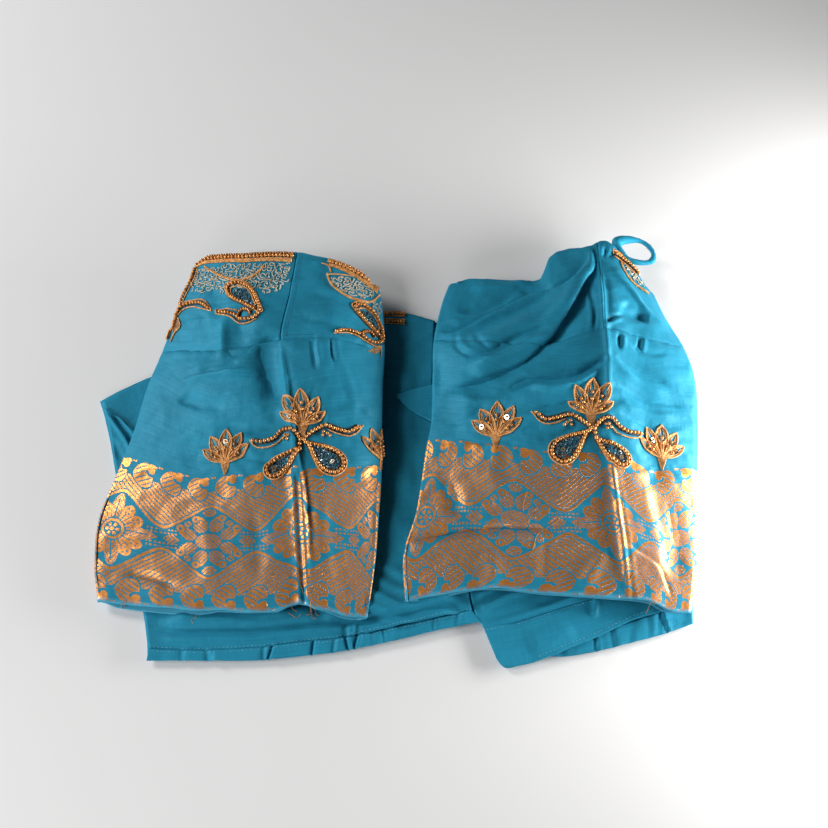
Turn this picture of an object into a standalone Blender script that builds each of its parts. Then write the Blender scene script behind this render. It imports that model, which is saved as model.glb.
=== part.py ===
"""Short blouse lying folded: two sleeves laid side by side over a flat body. Metres, Z up."""
import math

import bpy
import bmesh
import numpy as np
from mathutils import Matrix, Vector

MM = 0.001

# cloth
CLOTH = 1.2            # one layer of lined cloth, mm
SEAM_GAP = 0.35        # space left between sewn pieces, mm
LAYER_GAP = 0.5        # space left between stacked pieces, mm
SLEEVE_THICK = 2.8     # both layers of a flattened sleeve, mm
CUFF_THICK = 4.8       # the same at the open cuff, mm
SHOULDER_THICK = 2.0   # lined shoulder, mm
PANEL_Z = 1.5          # underside of the front panels, mm
PAD_Z = 3.1            # underside of the hidden folds, mm
PAD_SIDE = 8.5         # hidden folds stop this far inside the sleeve's sides, mm
PAD_EDGE = 0.8         # least height of the hidden folds, mm
PAD_ROUNDING = 1.5     # the hidden folds' sides are this much lower, mm
PAD_END_HEIGHTS = ((0, 0.45), (1, 0.8), (-1, 0.6))   # row, share of the full height
POCKET_STATIONS = 4    # stations of the sleeve that the open cuff reaches in
LOWER_CUFF = 5.0       # the left sleeve's lower layer reaches this much further, mm
LOWER_CUFF_SPAN = ((-176, 0.4), (-165, 1), (-100, 1), (-88, 0))   # x, share of that reach

# sections across each side of the folded blouse, from the neck to the sleeve's hem:
# x, y, z in mm at the left edge, left middle, ridge, right middle and right edge
LEFT_SECTIONS = (
    ((-140, 131, 12), (-103, 132, 22), (-67, 131, 25), (-34, 123, 22), (-11, 113, 14)),
    ((-146, 102, 11), (-107, 94, 26), (-70, 95, 29), (-33, 92, 25), (-8, 85, 14)),
    ((-156, 62, 9), (-110, 52, 26), (-74, 57, 31), (-32, 57, 26), (-7, 57, 14)),
    ((-163, 34, 9), (-112, 25, 26), (-69, 22, 32), (-30, 25, 26), (-8, 30, 14)),
    ((-169, -1, 8), (-112, -11, 24), (-62, -14, 31), (-27, -11, 25), (-8, -4, 14)),
    ((-176, -28, 7), (-113, -41, 21), (-58, -40, 28), (-27, -37, 22), (-8, -31, 12.5)),
    ((-184, -60, 5.6), (-114, -71, 17), (-55, -69, 23), (-26, -67, 18.5), (-9, -61, 11)),
    ((-183, -90, 5.4), (-112, -99, 13.5), (-53, -95, 18), (-26, -95, 14.5), (-10, -89, 9)),
    ((-178, -114, 5.5), (-111, -121, 9.6), (-51, -117, 12.5), (-28, -121, 10), (-14, -121, 8.2)),
)
RIGHT_SECTIONS = (
    ((37, 119, 10), (98, 121, 12), (140, 143, 18), (160, 132, 15), (176, 113, 10)),
    ((30, 97, 9.5), (92, 88, 17), (139, 100, 26), (165, 95, 20), (183, 88, 11)),
    ((25, 70, 9.5), (88, 57, 24), (137, 65, 31), (169, 63, 25), (193, 62, 12.5)),
    ((24, 45, 9.5), (84, 32, 27), (136, 32, 33), (170, 35, 26), (197, 38, 12.5)),
    ((23, 9, 9.5), (82, -1, 28), (134, -3, 32), (168, 1, 25), (195, 5, 12.5)),
    ((19, -14, 9), (81, -29, 25), (135, -29, 29), (166, -31, 22), (191, -27, 11.5)),
    ((13, -55, 8.5), (80, -61, 21), (138, -63, 24), (166, -62, 18), (187, -59, 10)),
    ((5, -85, 8), (79, -88, 16.5), (142, -92, 19), (165, -91, 14), (185, -88, 9)),
    ((6, -115, 7.8), (64, -112, 11), (143, -118, 13), (163, -121, 10.5), (178, -120, 8.2)),
)
ROW_ARMHOLE = 2.0
ROW_HEM = 8.0
EDGE_INSET = 1.6                                    # the rolled edge starts this far in, mm
MAX_BULGE = 1.8                                     # most that a rolled edge bulges, mm
SIDE_RUN = 9.0                                      # how steeply the top meets its edges, mm
CUFF_ROW = 6.9                                      # the cuff's layers part from this row on
EDGE_POINTS = 4                                     # points on each rolled edge
STEPS = 25                                          # points across, without the rolled edges
SHOULDER_ROWS = np.linspace(0.0, 1.99, 9)
SLEEVE_ROWS = np.concatenate((np.linspace(2.01, 6.5, 17), (6.9, 7.25, 7.5, 7.75, 8.0)))
# underside of the rolled edges, mm: (neck, armhole, hem) for each side
LEFT_TUCK_OUT = (6.0, 6.4, 4.2)
LEFT_TUCK_IN = (6.4, 6.4, 7.0)
RIGHT_TUCK_IN = (7.0, 7.2, 7.0)
RIGHT_TUCK_OUT = (6.0, 5.8, 7.0)

# how far the crumpled neck edge stands back between its seam and its front corner: x, extra y, mm
NECK_FLAP = ((99.5, 0), (105, 7), (110, 9), (117, 10), (125, 5), (134, 0))
NECK_FLAP_DEPTH = 0.45   # rows that it fades over

# folds that run over the pieces: start, middle and end of the line, width, height and lean, mm
FOLDS = (
    # x0, y0, x1, y1, x2, y2, width, height, lean
    (-86, 60, -83, 33, -76, 8, 7.0, -3.4, 0.0),        # hollow left of the seam
    (-76, 60, -66, 10, -50, -121, 4.5, 1.3, 0.0),      # raised sleeve seam
    (-136, 42, -112, 37, -91, 27, 6.0, 1.8, -0.3),     # long soft ridge on the cap
    (-138, 22, -124, 14, -106, 7, 4.5, -1.6, 0.0),
    (-115, -6, -85, -13, -60, -12, 5.0, -1.3, 0.3),
    (-106, -24, -82, -32, -60, -36, 5.0, -1.2, 0.3),
    (-163, -95, -147, -100, -128, -107, 5.0, -0.9, 0.0),
    (28, 50, 86, 66, 133, 124, 13.0, 4.2, 0.0),        # big roll below the right shoulder
    (136, 124, 118, 60, 28, 27, 4.6, -4.6, 0.35),      # deep groove under the roll
    (138, 38, 112, 26, 72, 22, 4.5, -3.0, 0.3),        # second groove
    (132, 20, 104, 15, 70, 14, 5.5, 1.6, 0.0),
    (41, 36, 48, 12, 48, -10, 7.0, 1.5, 0.0),
    (134, 124, 78, 74, 24, 71, 5.0, -1.8, -0.4),       # upper edge of the roll
    (152, 92, 159, 84, 170, 80, 4.5, -2.2, 0.0),
    (149, 124, 158, 108, 167, 93, 4.5, 1.6, 0.0),
    (141, 47, 160, 33, 180, 28, 5.5, -1.6, 0.2),
    (142, 21, 162, 14, 189, 15, 5.5, -1.3, 0.2),
    (10, -74, 50, -66, 102, -72, 4.5, -2.0, 0.45),     # crease across the right border
    (12, -81, 50, -77, 100, -80, 6.0, 1.2, 0.0),
    (139, 122, 139, 40, 134, -10, 4.0, 1.2, 0.0),      # right shoulder and sleeve seam
    (134, -10, 136, -70, 142, -119, 4.0, 1.2, 0.0),
)

# outlines of the flat pieces, mm
BACK_TOP = ((-194, 27), (-184, 34), (-172, 41), (-158, 48), (-120, 62), (-60, 84), (0, 92), (60, 84),
            (140, 62), (190, 45))
BACK_LEFT = ((-194, 27), (-189, 14), (-183, -5), (-177, -27), (-163, -73), (-150, -118), (-145, -139))
BACK_RIGHT = ((190, 45), (190, 5), (187, -40), (183, -80), (180, -113))
BACK_SEAM = ((-145, -139), (-89, -139), (-43, -136), (4, -126), (40, -123), (62, -130), (84, -138),
             (99, -137), (120, -132), (140, -126), (161, -119), (180, -113))
BACK_HEM = ((-144, -147), (-89, -147.5), (-43, -144), (4, -134), (40, -130), (60, -139), (80, -148),
            (99, -148), (119, -144), (139, -139), (161, -133), (179, -126.5))
FRONT_LEFT_TOP = ((-190.5, 22), (-180, 14), (-168, 5), (-140, 2), (-90, 32), (-50, 74), (-15, 96),
                  (4, 97), (27, 90))
FRONT_LEFT_SIDE = ((-190.5, 22), (-186, 10), (-182, -5), (-176, -27), (-162, -73), (-149.5, -118),
                   (-143.5, -143))
FRONT_LEFT_EDGE = ((27, 90), (26, 60), (25, 30), (26, 0), (31, -30), (42, -85), (47, -119))
LEFT_SEAM = ((-143.5, -143), (-113, -144), (-79, -142), (-55, -139), (-28, -136), (4, -129), (30, -123),
             (47, -119))
LEFT_HEM = ((-144, -150), (-118, -150), (-89, -150), (-69, -149), (-43, -146), (-28, -144), (4, -137),
            (28, -131), (52, -126))
FRONT_RIGHT_TOP = ((28.5, 70), (100, 66), (190, 44))
FRONT_RIGHT_EDGE = ((28.5, 70), (26.6, 30), (27, 0), (32.2, -30), (43.2, -85), (48.3, -118), (54, -130))
FRONT_RIGHT_SIDE = ((190, 44), (189, 5), (186, -40), (182, -80), (179, -101))
RIGHT_SEAM = ((54, -130), (70, -127), (89, -121), (111, -114), (140, -107), (179, -101))
RIGHT_HEM = ((61, -149), (63.5, -152.5), (67, -154.5), (74, -153), (86, -150), (103, -143), (120, -136),
             (141, -126), (160, -120), (179, -113))
CORNER_TOP = ((1.6, 30.4), (11, 34), (22, 37), (29.3, 39.5))
CORNER_BOTTOM = ((1.6, 28), (7, 22), (14, 16), (29.3, 7))
CORNER_Z = 3.8        # underside of the turned-out neck corner, mm
BACK_COLS, LEFT_COLS, RIGHT_COLS = 16, 20, 12   # columns of the body pieces
LOOP_CENTRE = (167.5, 137.7, 13.6)
LOOP_RADII = (10.2, 8.4)      # to the middle of the piping, mm
LOOP_TURN = 40.0             # degrees the loop is turned in plan
LOOP_TILT = 22.0             # degrees its outer end lifts
PIPING = (5.0, 4.2)          # width and depth of the piped tie, mm

SILK = (0.030, 0.190, 0.300, 1.0)
SILK_LIGHT = (0.090, 0.330, 0.430, 1.0)
BORDER = (0.330, 0.250, 0.160, 1.0)


def clear_scene():
    for item in list(bpy.data.objects):
        bpy.data.objects.remove(item, do_unlink=True)


def material(name, colour, rough):
    mat = bpy.data.materials.new(name)
    mat.use_nodes = True
    shader = mat.node_tree.nodes["Principled BSDF"]
    shader.inputs["Base Color"].default_value = colour
    shader.inputs["Roughness"].default_value = rough
    return mat


def curve_at(points, t):
    """Smooth curve through points at t, counted in points from the first."""
    p = np.asarray(points, dtype=float)
    last = len(p) - 1
    i = int(min(max(math.floor(t), 0), last - 1))
    f = t - i
    a, b = p[i], p[i + 1]
    before = p[i - 1] if i > 0 else 2 * a - b
    after = p[i + 2] if i + 2 <= last else 2 * b - a
    ta, tb = (b - before) / 2, (after - a) / 2
    return ((2 * f**3 - 3 * f**2 + 1) * a + (f**3 - 2 * f**2 + f) * ta
            + (3 * f**2 - 2 * f**3) * b + (f**3 - f**2) * tb)


def fold_height(x, y):
    """Height that the folds add at plan points x, y."""
    total = np.zeros_like(x)
    s = np.linspace(0, 1, 41)
    for x0, y0, x1, y1, x2, y2, width, height, lean in FOLDS:
        px = (1 - s)**2 * x0 + 2 * s * (1 - s) * x1 + s**2 * x2
        py = (1 - s)**2 * y0 + 2 * s * (1 - s) * y1 + s**2 * y2
        dx, dy = np.gradient(px), np.gradient(py)
        away = (x[..., None] - px)**2 + (y[..., None] - py)**2
        near = away.argmin(-1)
        side = (x - px[near]) * dy[near] - (y - py[near]) * dx[near]
        reach = width * np.where(side > 0, 1 + lean, 1 - lean)
        ends = np.clip(np.minimum(s[near], 1 - s[near]) / 0.18, 0, 1)
        total += height * (0.25 + 0.75 * ends) * np.exp(-away.min(-1) / reach**2)
    return total


def side_points(edge, low, out):
    """Rolled edge from its top down to its underside, on the side that out points to."""
    x, y, z = edge
    drop = z - low
    bulge = min(MAX_BULGE, 0.35 * drop)
    profile = ((0.65, 0.25), (1.0, 0.55), (0.55, 0.85), (-0.5, 1.0))   # share of bulge, share of drop
    return [(x + out * bulge * side, y, z - drop * down) for side, down in profile]


def between(values, v):
    neck, armhole, hem = values
    if v < ROW_ARMHOLE:
        return neck + (armhole - neck) * v / ROW_ARMHOLE
    return armhole + (hem - armhole) * (v - ROW_ARMHOLE) / (ROW_HEM - ROW_ARMHOLE)


def section(table, tucks, v):
    """Points across the top of one side at row v, from its left tuck to its right tuck."""
    row = [curve_at([r[i] for r in table], v) for i in range(5)]
    row[0][0] += EDGE_INSET
    row[4][0] -= EDGE_INSET
    low_left, low_right = between(tucks[0], v), between(tucks[1], v)
    fall_left = row[0] - (SIDE_RUN, 0, 0.8 * (row[0][2] - low_left) + 4)
    fall_right = row[4] - (-SIDE_RUN, 0, 0.8 * (row[4][2] - low_right) + 4)
    line = [fall_left, *row, fall_right]
    top = [curve_at(line, 1 + t) for t in np.linspace(0, 4, STEPS)]
    left = side_points(row[0], low_left, -1)[::-1]
    right = side_points(row[4], low_right, 1)
    points = np.array([*left, *top, *right])
    inside = np.ones(len(points))
    inside[:EDGE_POINTS] = inside[-EDGE_POINTS:] = 0
    inside[EDGE_POINTS] = inside[-EDGE_POINTS - 1] = 0.35
    points[:, 2] += inside * fold_height(points[:, 0], points[:, 1])
    fade = max(0.0, 1 - v / NECK_FLAP_DEPTH)
    points[:, 1] += fade * np.interp(points[:, 0], *np.array(NECK_FLAP).T)
    return points


def surface(table, tucks, rows):
    return np.array([section(table, tucks, v) for v in rows])


def normals(grid):
    along = np.gradient(grid, axis=0)
    across = np.gradient(grid, axis=1)
    n = np.cross(along, across)
    n /= np.linalg.norm(n, axis=-1, keepdims=True)
    return n if n[..., 2].mean() > 0 else -n


def square_end(n, row):
    """Turn a seam row's offsets into the seam's own plane, so that sewn pieces keep their gap."""
    n[row, :, 1] = 0
    n[row] /= np.linalg.norm(n[row], axis=-1, keepdims=True)


def start_sheet(top, bottom):
    """Closed slab between two grids of points; returns its mesh and a table of its vertices."""
    rows, cols = top.shape[:2]
    work = bmesh.new()
    bmesh.ops.create_grid(work, x_segments=cols - 1, y_segments=rows - 1, size=0.5)
    flat_sheet = sorted(work.verts, key=lambda v: (round(-v.co.y, 6), round(v.co.x, 6)))
    place = {tuple(v.co): divmod(k, cols) for k, v in enumerate(flat_sheet)}
    grown = bmesh.ops.extrude_face_region(work, geom=work.faces[:])["geom"]
    table = {}
    under = {item for item in grown if isinstance(item, bmesh.types.BMVert)}
    for v in work.verts:
        i, j = place[tuple(v.co)]
        table[v in under, i, j] = v
    for (low, i, j), v in table.items():
        v.co = Vector(bottom[i, j] if low else top[i, j]) * MM
    return work, table


def finish_object(name, work, mat, collection):
    bmesh.ops.recalc_face_normals(work, faces=work.faces)
    if work.calc_volume(signed=True) < 0:
        bmesh.ops.reverse_faces(work, faces=work.faces)
    bmesh.ops.triangulate(work, faces=work.faces)
    mesh = bpy.data.meshes.new(name)
    work.to_mesh(mesh)
    work.free()
    mesh.materials.append(mat)
    item = bpy.data.objects.new(name, mesh)
    collection.objects.link(item)
    return item


def slab(name, top, bottom, mat, collection):
    work, _ = start_sheet(top, bottom)
    return finish_object(name, work, mat, collection)


def open_cuff(work, table, top, bottom, n, first, last):
    """Push the hem's end wall back between the two layers, leaving a wall of cloth all round."""
    count = top.shape[0]
    rim = {table[low, count - 1, j]: (low, j) for low in (False, True) for j in range(first, last + 1)}
    mouth = [f for f in work.faces if all(v in rim for v in f.verts)]
    for i in (count - 1, *range(count - 2, count - 1 - POCKET_STATIONS, -1)):
        places = {tuple(v.co): key for v, key in rim.items()}
        grown = bmesh.ops.extrude_face_region(work, geom=mouth)["geom"]
        bmesh.ops.delete(work, geom=mouth, context="FACES")
        mouth = [item for item in grown if isinstance(item, bmesh.types.BMFace)]
        rim = {item: places[tuple(item.co)] for item in grown if isinstance(item, bmesh.types.BMVert)}
        for v, (low, j) in rim.items():
            inner = bottom[i, j] + n[i, j] * CLOTH if low else top[i, j] - n[i, j] * CLOTH
            v.co = Vector(inner) * MM


def sleeve(name, table, tucks, reach, mat, collection):
    """Flattened tube: both layers pressed together, open for a way in at the cuff."""
    rows = SLEEVE_ROWS
    top = surface(table, tucks, rows)
    n = normals(top)
    square_end(n, 0)
    cuff = np.clip((rows - CUFF_ROW) / (ROW_HEM - CUFF_ROW), 0, 1)[:, None, None]
    middle = np.ones(top.shape[1])
    middle[:EDGE_POINTS] = middle[-EDGE_POINTS:] = 0
    middle[EDGE_POINTS:EDGE_POINTS + 2] = middle[-EDGE_POINTS - 2:-EDGE_POINTS] = 0.4
    thick = SLEEVE_THICK + (CUFF_THICK - SLEEVE_THICK) * cuff * middle[None, :, None]
    bottom = top - n * thick
    longer = np.interp(top[:, :, 0], *np.array(LOWER_CUFF_SPAN).T)
    bottom[:, :, 1] -= reach * cuff[:, :, 0]**2 * longer
    work, verts = start_sheet(top, bottom)
    open_cuff(work, verts, top, bottom, n, EDGE_POINTS + 1, top.shape[1] - EDGE_POINTS - 2)
    return finish_object(name, work, mat, collection)


def shoulder(name, table, tucks, half, mat, collection):
    """One half of a shoulder, from the rolled outer edge to the seam on the ridge."""
    grid = surface(table, tucks, SHOULDER_ROWS)
    seam = EDGE_POINTS + STEPS // 2
    grid = grid[:, :seam + 1] if half == "left" else grid[:, seam:]
    gap = SEAM_GAP / 2 * (-1 if half == "left" else 1)
    end = -1 if half == "left" else 0
    grid[:, end, 0] += gap
    n = normals(grid)
    square_end(n, -1)
    n[:, end, 0] = 0
    n[:, end] /= np.linalg.norm(n[:, end], axis=-1, keepdims=True)
    return slab(name, grid, grid - n * SHOULDER_THICK, mat, collection)


def pad(name, table, tucks, mat, collection):
    """The layers folded away under one side, lower at its ends like stacked cloth."""
    rows = np.concatenate((SHOULDER_ROWS[2:], SLEEVE_ROWS[:-2]))
    full = surface(table, tucks, rows)
    cuff = np.clip((rows - CUFF_ROW) / (ROW_HEM - CUFF_ROW), 0, 1)[:, None, None]
    sink = SLEEVE_THICK + LAYER_GAP + (CUFF_THICK - SLEEVE_THICK) * cuff
    n = normals(full)
    seam = len(SHOULDER_ROWS) - 2
    square_end(n, seam - 1)
    square_end(n, seam)
    keep = (full - n * sink)[:, EDGE_POINTS + 1:-EDGE_POINTS - 1]
    tall = keep[:, :, 2] > PAD_Z + PAD_EDGE + LAYER_GAP
    left = np.maximum(full[:, EDGE_POINTS, 0] + PAD_SIDE, np.where(tall, keep[:, :, 0], 999).min(1))
    right = np.minimum(full[:, -EDGE_POINTS - 1, 0] - PAD_SIDE,
                       np.where(tall, keep[:, :, 0], -999).max(1))
    keep[:, :, 0] = np.clip(keep[:, :, 0], left[:, None], right[:, None])
    keep[:, :, 0] += np.linspace(-0.01, 0.01, keep.shape[1])
    for row, share in PAD_END_HEIGHTS:
        keep[row, :, 2] = PAD_Z + (keep[row, :, 2] - PAD_Z) * share
    keep[:, (0, -1), 2] -= PAD_ROUNDING
    keep[:, :, 2] = np.maximum(keep[:, :, 2], PAD_Z + PAD_EDGE)
    floor = keep.copy()
    floor[:, :, 2] = PAD_Z
    work, verts = start_sheet(keep, floor)
    under = [v for (low, i, j), v in verts.items() if low]
    bmesh.ops.dissolve_faces(work, faces=[f for f in work.faces if all(v in under for v in f.verts)])
    return finish_object(name, work, mat, collection)


def spaced(p, count):
    """Points at equal steps along a run of straight pieces."""
    run = np.concatenate(((0,), np.cumsum(np.linalg.norm(np.diff(p, axis=0), axis=1))))
    return np.column_stack([np.interp(np.linspace(0, run[-1], count), run, p[:, k]) for k in (0, 1)])


def along(line, count):
    """Points at equal steps along the smooth curve through line."""
    p = np.asarray(line, dtype=float)
    return spaced(np.array([curve_at(p, t) for t in np.linspace(0, len(p) - 1, 12 * (len(p) - 1) + 1)]), count)


def patch(top, bottom, left, right, cols, rows):
    """Grid of plan points filling four edges; the rows run from top to bottom."""
    return fill(along(top, cols), along(bottom, cols), along(left, rows), along(right, rows))


def band(seam, hem, panel_cols, cols, rows):
    """Grid of a hem band whose seam follows the panel's edge one gap away."""
    t = spaced(along(seam, panel_cols) - np.array((0.0, SEAM_GAP)), cols)
    b = along(hem, cols)
    return fill(t, b, spaced(np.array((t[0], b[0])), rows), spaced(np.array((t[-1], b[-1])), rows))


def fill(t, b, l, r):
    rows, cols = len(l), len(t)
    grid = np.zeros((rows, cols, 3))
    for i in range(rows):
        v = i / (rows - 1)
        for j in range(cols):
            u = j / (cols - 1)
            corners = (1 - u) * ((1 - v) * t[0] + v * b[0]) + u * ((1 - v) * t[-1] + v * b[-1])
            grid[i, j, :2] = (1 - v) * t[j] + v * b[j] + (1 - u) * l[i] + u * r[i] - corners
    return grid


def lay(name, grid, height, base, thick, mat, collection):
    """Flat piece: height(x, y) lifts it off its resting level."""
    low, top = grid.copy(), grid.copy()
    low[:, :, 2] = base + height(grid[:, :, 0], grid[:, :, 1])
    top[:, :, 2] = low[:, :, 2] + thick
    return slab(name, top, low, mat, collection)


def flat(x, y):
    return np.zeros_like(x)


def wing_height(x, y):
    """Front panel lifting where it comes out beside the left sleeve, and a soft wave in the gap."""
    wing = 1.6 * np.exp(-((x + 181)**2 / 9**2 + (y - 12)**2 / 14**2))
    gap = np.clip(np.minimum(x + 9, 15 - x) / 6, 0, 1) * np.clip(np.minimum(60 - y, y + 100) / 20, 0, 1)
    return wing + 0.5 * gap * (1 + np.sin(y / 6.0 + 0.05 * x))


def puckers(x, y):
    """Gathers of a hem band where its stitching draws it in."""
    return 0.55 + 0.55 * np.sin(x / 1.9 + 1.3 * np.sin(x / 11.0)) * (0.6 + 0.4 * np.sin(x / 23.0 + 1.0))


def back_puckers(x, y):
    shown = np.clip((x - 92) / 10, 0, 1)
    hem = np.interp(x, [p[0] for p in RIGHT_HEM[2:]], [p[1] for p in RIGHT_HEM[2:]])
    return shown * np.clip((hem - 2.0 - y) / 4, 0, 1) * puckers(x + 7, y) * 0.7


def loop(name, mat, collection):
    """Ring of piping, flattened and tilted up at its outer end."""
    bpy.ops.mesh.primitive_torus_add(major_segments=22, minor_segments=8,
                                     major_radius=LOOP_RADII[0] * MM, minor_radius=PIPING[0] / 2 * MM)
    item = bpy.context.object
    item.name = item.data.name = name
    squeeze = Matrix.Diagonal((1, LOOP_RADII[1] / LOOP_RADII[0], PIPING[1] / PIPING[0], 1))
    turn = Matrix.Rotation(math.radians(LOOP_TURN), 4, "Z")
    tilt = Matrix.Rotation(math.radians(-LOOP_TILT), 4, "Y")
    item.data.transform(Matrix.Translation(Vector(LOOP_CENTRE) * MM) @ turn @ tilt @ squeeze)
    item.data.materials.append(mat)
    for holder in list(item.users_collection):
        holder.objects.unlink(item)
    collection.objects.link(item)
    return item


def recentre(items):
    """Move the whole so that its box stands centred on the origin."""
    spans = np.array([v.co[:] for item in items for v in item.data.vertices])
    low, high = spans.min(0), spans.max(0)
    shift = Vector((-(low[0] + high[0]) / 2, -(low[1] + high[1]) / 2, -low[2]))
    for item in items:
        for v in item.data.vertices:
            v.co += shift


def main():
    clear_scene()
    blouse = bpy.data.collections.new("folded_blouse")
    bpy.context.scene.collection.children.link(blouse)
    silk = material("silk", SILK, 0.45)
    light = material("silk_light", SILK_LIGHT, 0.45)
    brocade = material("brocade_sleeve", BORDER, 0.5)

    lay("back_panel", patch(BACK_TOP, BACK_SEAM, BACK_LEFT, BACK_RIGHT, BACK_COLS, 9), flat, 0.0,
        CLOTH, silk, blouse)
    lay("waistband_back", band(BACK_SEAM, BACK_HEM, BACK_COLS, 46, 3), back_puckers, 0.0, CLOTH,
        light, blouse)
    lay("front_left", patch(FRONT_LEFT_TOP, LEFT_SEAM, FRONT_LEFT_SIDE, FRONT_LEFT_EDGE, LEFT_COLS, 16),
        wing_height, PANEL_Z, CLOTH, silk, blouse)
    lay("waistband_left", band(LEFT_SEAM, LEFT_HEM, LEFT_COLS, 78, 3), puckers, PANEL_Z, CLOTH,
        light, blouse)
    lay("front_right", patch(FRONT_RIGHT_TOP, RIGHT_SEAM, FRONT_RIGHT_EDGE, FRONT_RIGHT_SIDE,
                             RIGHT_COLS, 10), flat, PANEL_Z, CLOTH, silk, blouse)
    lay("waistband_right", band(RIGHT_SEAM, RIGHT_HEM, RIGHT_COLS, 34, 5), flat, PANEL_Z, CLOTH,
        light, blouse)
    corner_sides = (CORNER_TOP[0], CORNER_BOTTOM[0]), (CORNER_TOP[-1], CORNER_BOTTOM[-1])
    lay("neck_corner_right", patch(CORNER_TOP, CORNER_BOTTOM, *corner_sides, 8, 5), flat, CORNER_Z,
        CLOTH, light, blouse)

    sides = (("left", LEFT_SECTIONS, (LEFT_TUCK_OUT, LEFT_TUCK_IN), LOWER_CUFF),
             ("right", RIGHT_SECTIONS, (RIGHT_TUCK_IN, RIGHT_TUCK_OUT), 0.0))
    for side, table, tucks, reach in sides:
        pad(f"hidden_folds_{side}", table, tucks, silk, blouse)
        halves = ("left", "right") if side == "left" else ("right", "left")
        shoulder(f"shoulder_{side}_front", table, tucks, "left", silk, blouse)
        shoulder(f"shoulder_{side}_back", table, tucks, "right", light, blouse)
        sleeve(f"sleeve_{side}", table, tucks, reach, brocade, blouse)
    loop("neck_loop", light, blouse)
    recentre(list(blouse.objects))


main()
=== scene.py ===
"""Choli blouse lying folded: two brocade-bordered sleeves over the flat body. Metres, Z up."""
import math

import bmesh
import bpy
import numpy as np
from bpy.props import FloatProperty, FloatVectorProperty, PointerProperty
from mathutils import Matrix, Vector
from mathutils.bvhtree import BVHTree


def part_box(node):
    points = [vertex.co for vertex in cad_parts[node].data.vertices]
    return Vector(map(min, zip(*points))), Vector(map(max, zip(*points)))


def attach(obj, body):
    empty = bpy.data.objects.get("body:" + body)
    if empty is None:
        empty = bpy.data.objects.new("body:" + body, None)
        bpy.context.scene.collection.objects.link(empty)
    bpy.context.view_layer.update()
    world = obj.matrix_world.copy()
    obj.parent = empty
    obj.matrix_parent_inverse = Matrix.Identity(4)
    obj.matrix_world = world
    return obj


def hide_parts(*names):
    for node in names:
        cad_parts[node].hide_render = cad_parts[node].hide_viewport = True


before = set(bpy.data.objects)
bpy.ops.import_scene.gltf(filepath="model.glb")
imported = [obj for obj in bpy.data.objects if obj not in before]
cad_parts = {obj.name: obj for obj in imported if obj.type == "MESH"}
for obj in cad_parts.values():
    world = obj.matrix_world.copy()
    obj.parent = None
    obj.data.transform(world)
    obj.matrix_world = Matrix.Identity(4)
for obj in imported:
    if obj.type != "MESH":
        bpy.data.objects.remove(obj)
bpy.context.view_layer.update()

bl_info = {
    "name": "Folded Choli Blouse",
    "version": (1, 0, 0),
    "blender": (4, 5, 0),
    "location": "View3D > Sidebar > Blouse",
    "description": "Makes the folded blouse, its brocade, beadwork and stage",
    "category": "Add Mesh",
}

MM = 0.001
CORNER_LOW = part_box("neck_corner_right")[0]
SHIFT = np.array(CORNER_LOW) / MM - (1.6, 7.0, 3.8)   # from the cutting table's millimetres

# sections across each side of the folded blouse, from the neck to the sleeve's hem:
# x, y, z in mm at the left edge, left middle, ridge, right middle and right edge
LEFT_SECTIONS = np.array((
    ((-140, 131, 12), (-103, 132, 22), (-67, 131, 25), (-34, 123, 22), (-11, 113, 14)),
    ((-146, 102, 11), (-107, 94, 26), (-70, 95, 29), (-33, 92, 27), (-8, 85, 14)),
    ((-156, 62, 9), (-110, 52, 26), (-74, 57, 31), (-32, 57, 28.5), (-7, 57, 14)),
    ((-163, 34, 9), (-112, 25, 26), (-69, 22, 32), (-30, 25, 28.5), (-8, 30, 14)),
    ((-169, -1, 8), (-112, -11, 24), (-62, -14, 31), (-27, -11, 27), (-8, -4, 14)),
    ((-176, -28, 7), (-113, -41, 21), (-58, -40, 28), (-27, -37, 23.5), (-8, -31, 12.5)),
    ((-184, -60, 5.6), (-114, -71, 17), (-55, -69, 23), (-26, -67, 18.5), (-9, -61, 11)),
    ((-183, -90, 5.4), (-112, -99, 13.5), (-53, -95, 18), (-26, -95, 14.5), (-10, -89, 9)),
    ((-178, -114, 5.5), (-111, -121, 9.6), (-51, -117, 12.5), (-28, -121, 10), (-14, -121, 8.2)),
), dtype=float)
RIGHT_SECTIONS = np.array((
    ((37, 119, 10), (98, 121, 12), (140, 143, 18), (160, 132, 15), (176, 113, 10)),
    ((30, 97, 9.5), (92, 88, 17), (139, 100, 26), (165, 95, 18.5), (183, 88, 11)),
    ((25, 70, 9.5), (88, 57, 24), (137, 65, 31), (169, 63, 22.5), (193, 62, 12.5)),
    ((24, 45, 9.5), (84, 32, 27), (136, 32, 33), (170, 35, 23.5), (197, 38, 12.5)),
    ((23, 9, 9.5), (82, -1, 28), (134, -3, 32), (168, 1, 22.5), (195, 5, 12.5)),
    ((19, -14, 9), (81, -29, 25), (135, -29, 29), (166, -31, 20), (191, -27, 11.5)),
    ((13, -55, 8.5), (80, -61, 21), (138, -63, 24), (166, -62, 18), (187, -59, 10)),
    ((5, -85, 8), (79, -88, 16.5), (142, -92, 19), (165, -91, 14), (185, -88, 9)),
    ((6, -115, 7.8), (64, -112, 11), (143, -118, 13), (163, -121, 10.5), (178, -120, 8.2)),
), dtype=float)
# rows are counted in sections from the neck; one is about ROW_STEP mm long
ROW_ARMHOLE = 2.0
ROW_BORDER = 5.0
ROW_CUFF = 6.9
ROW_HEM = 8.0
ROW_STEP = 33
SLEEVE_ROWS = 134
SHOULDER_ROWS = 62
LAYER_ROWS = 50
# columns over the top of a side, and down each rolled edge
SLEEVE_COLUMNS = 145
SHOULDER_COLUMNS = 161
LAYER_COLUMNS = 50
EDGE_COLUMNS = 8
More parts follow.
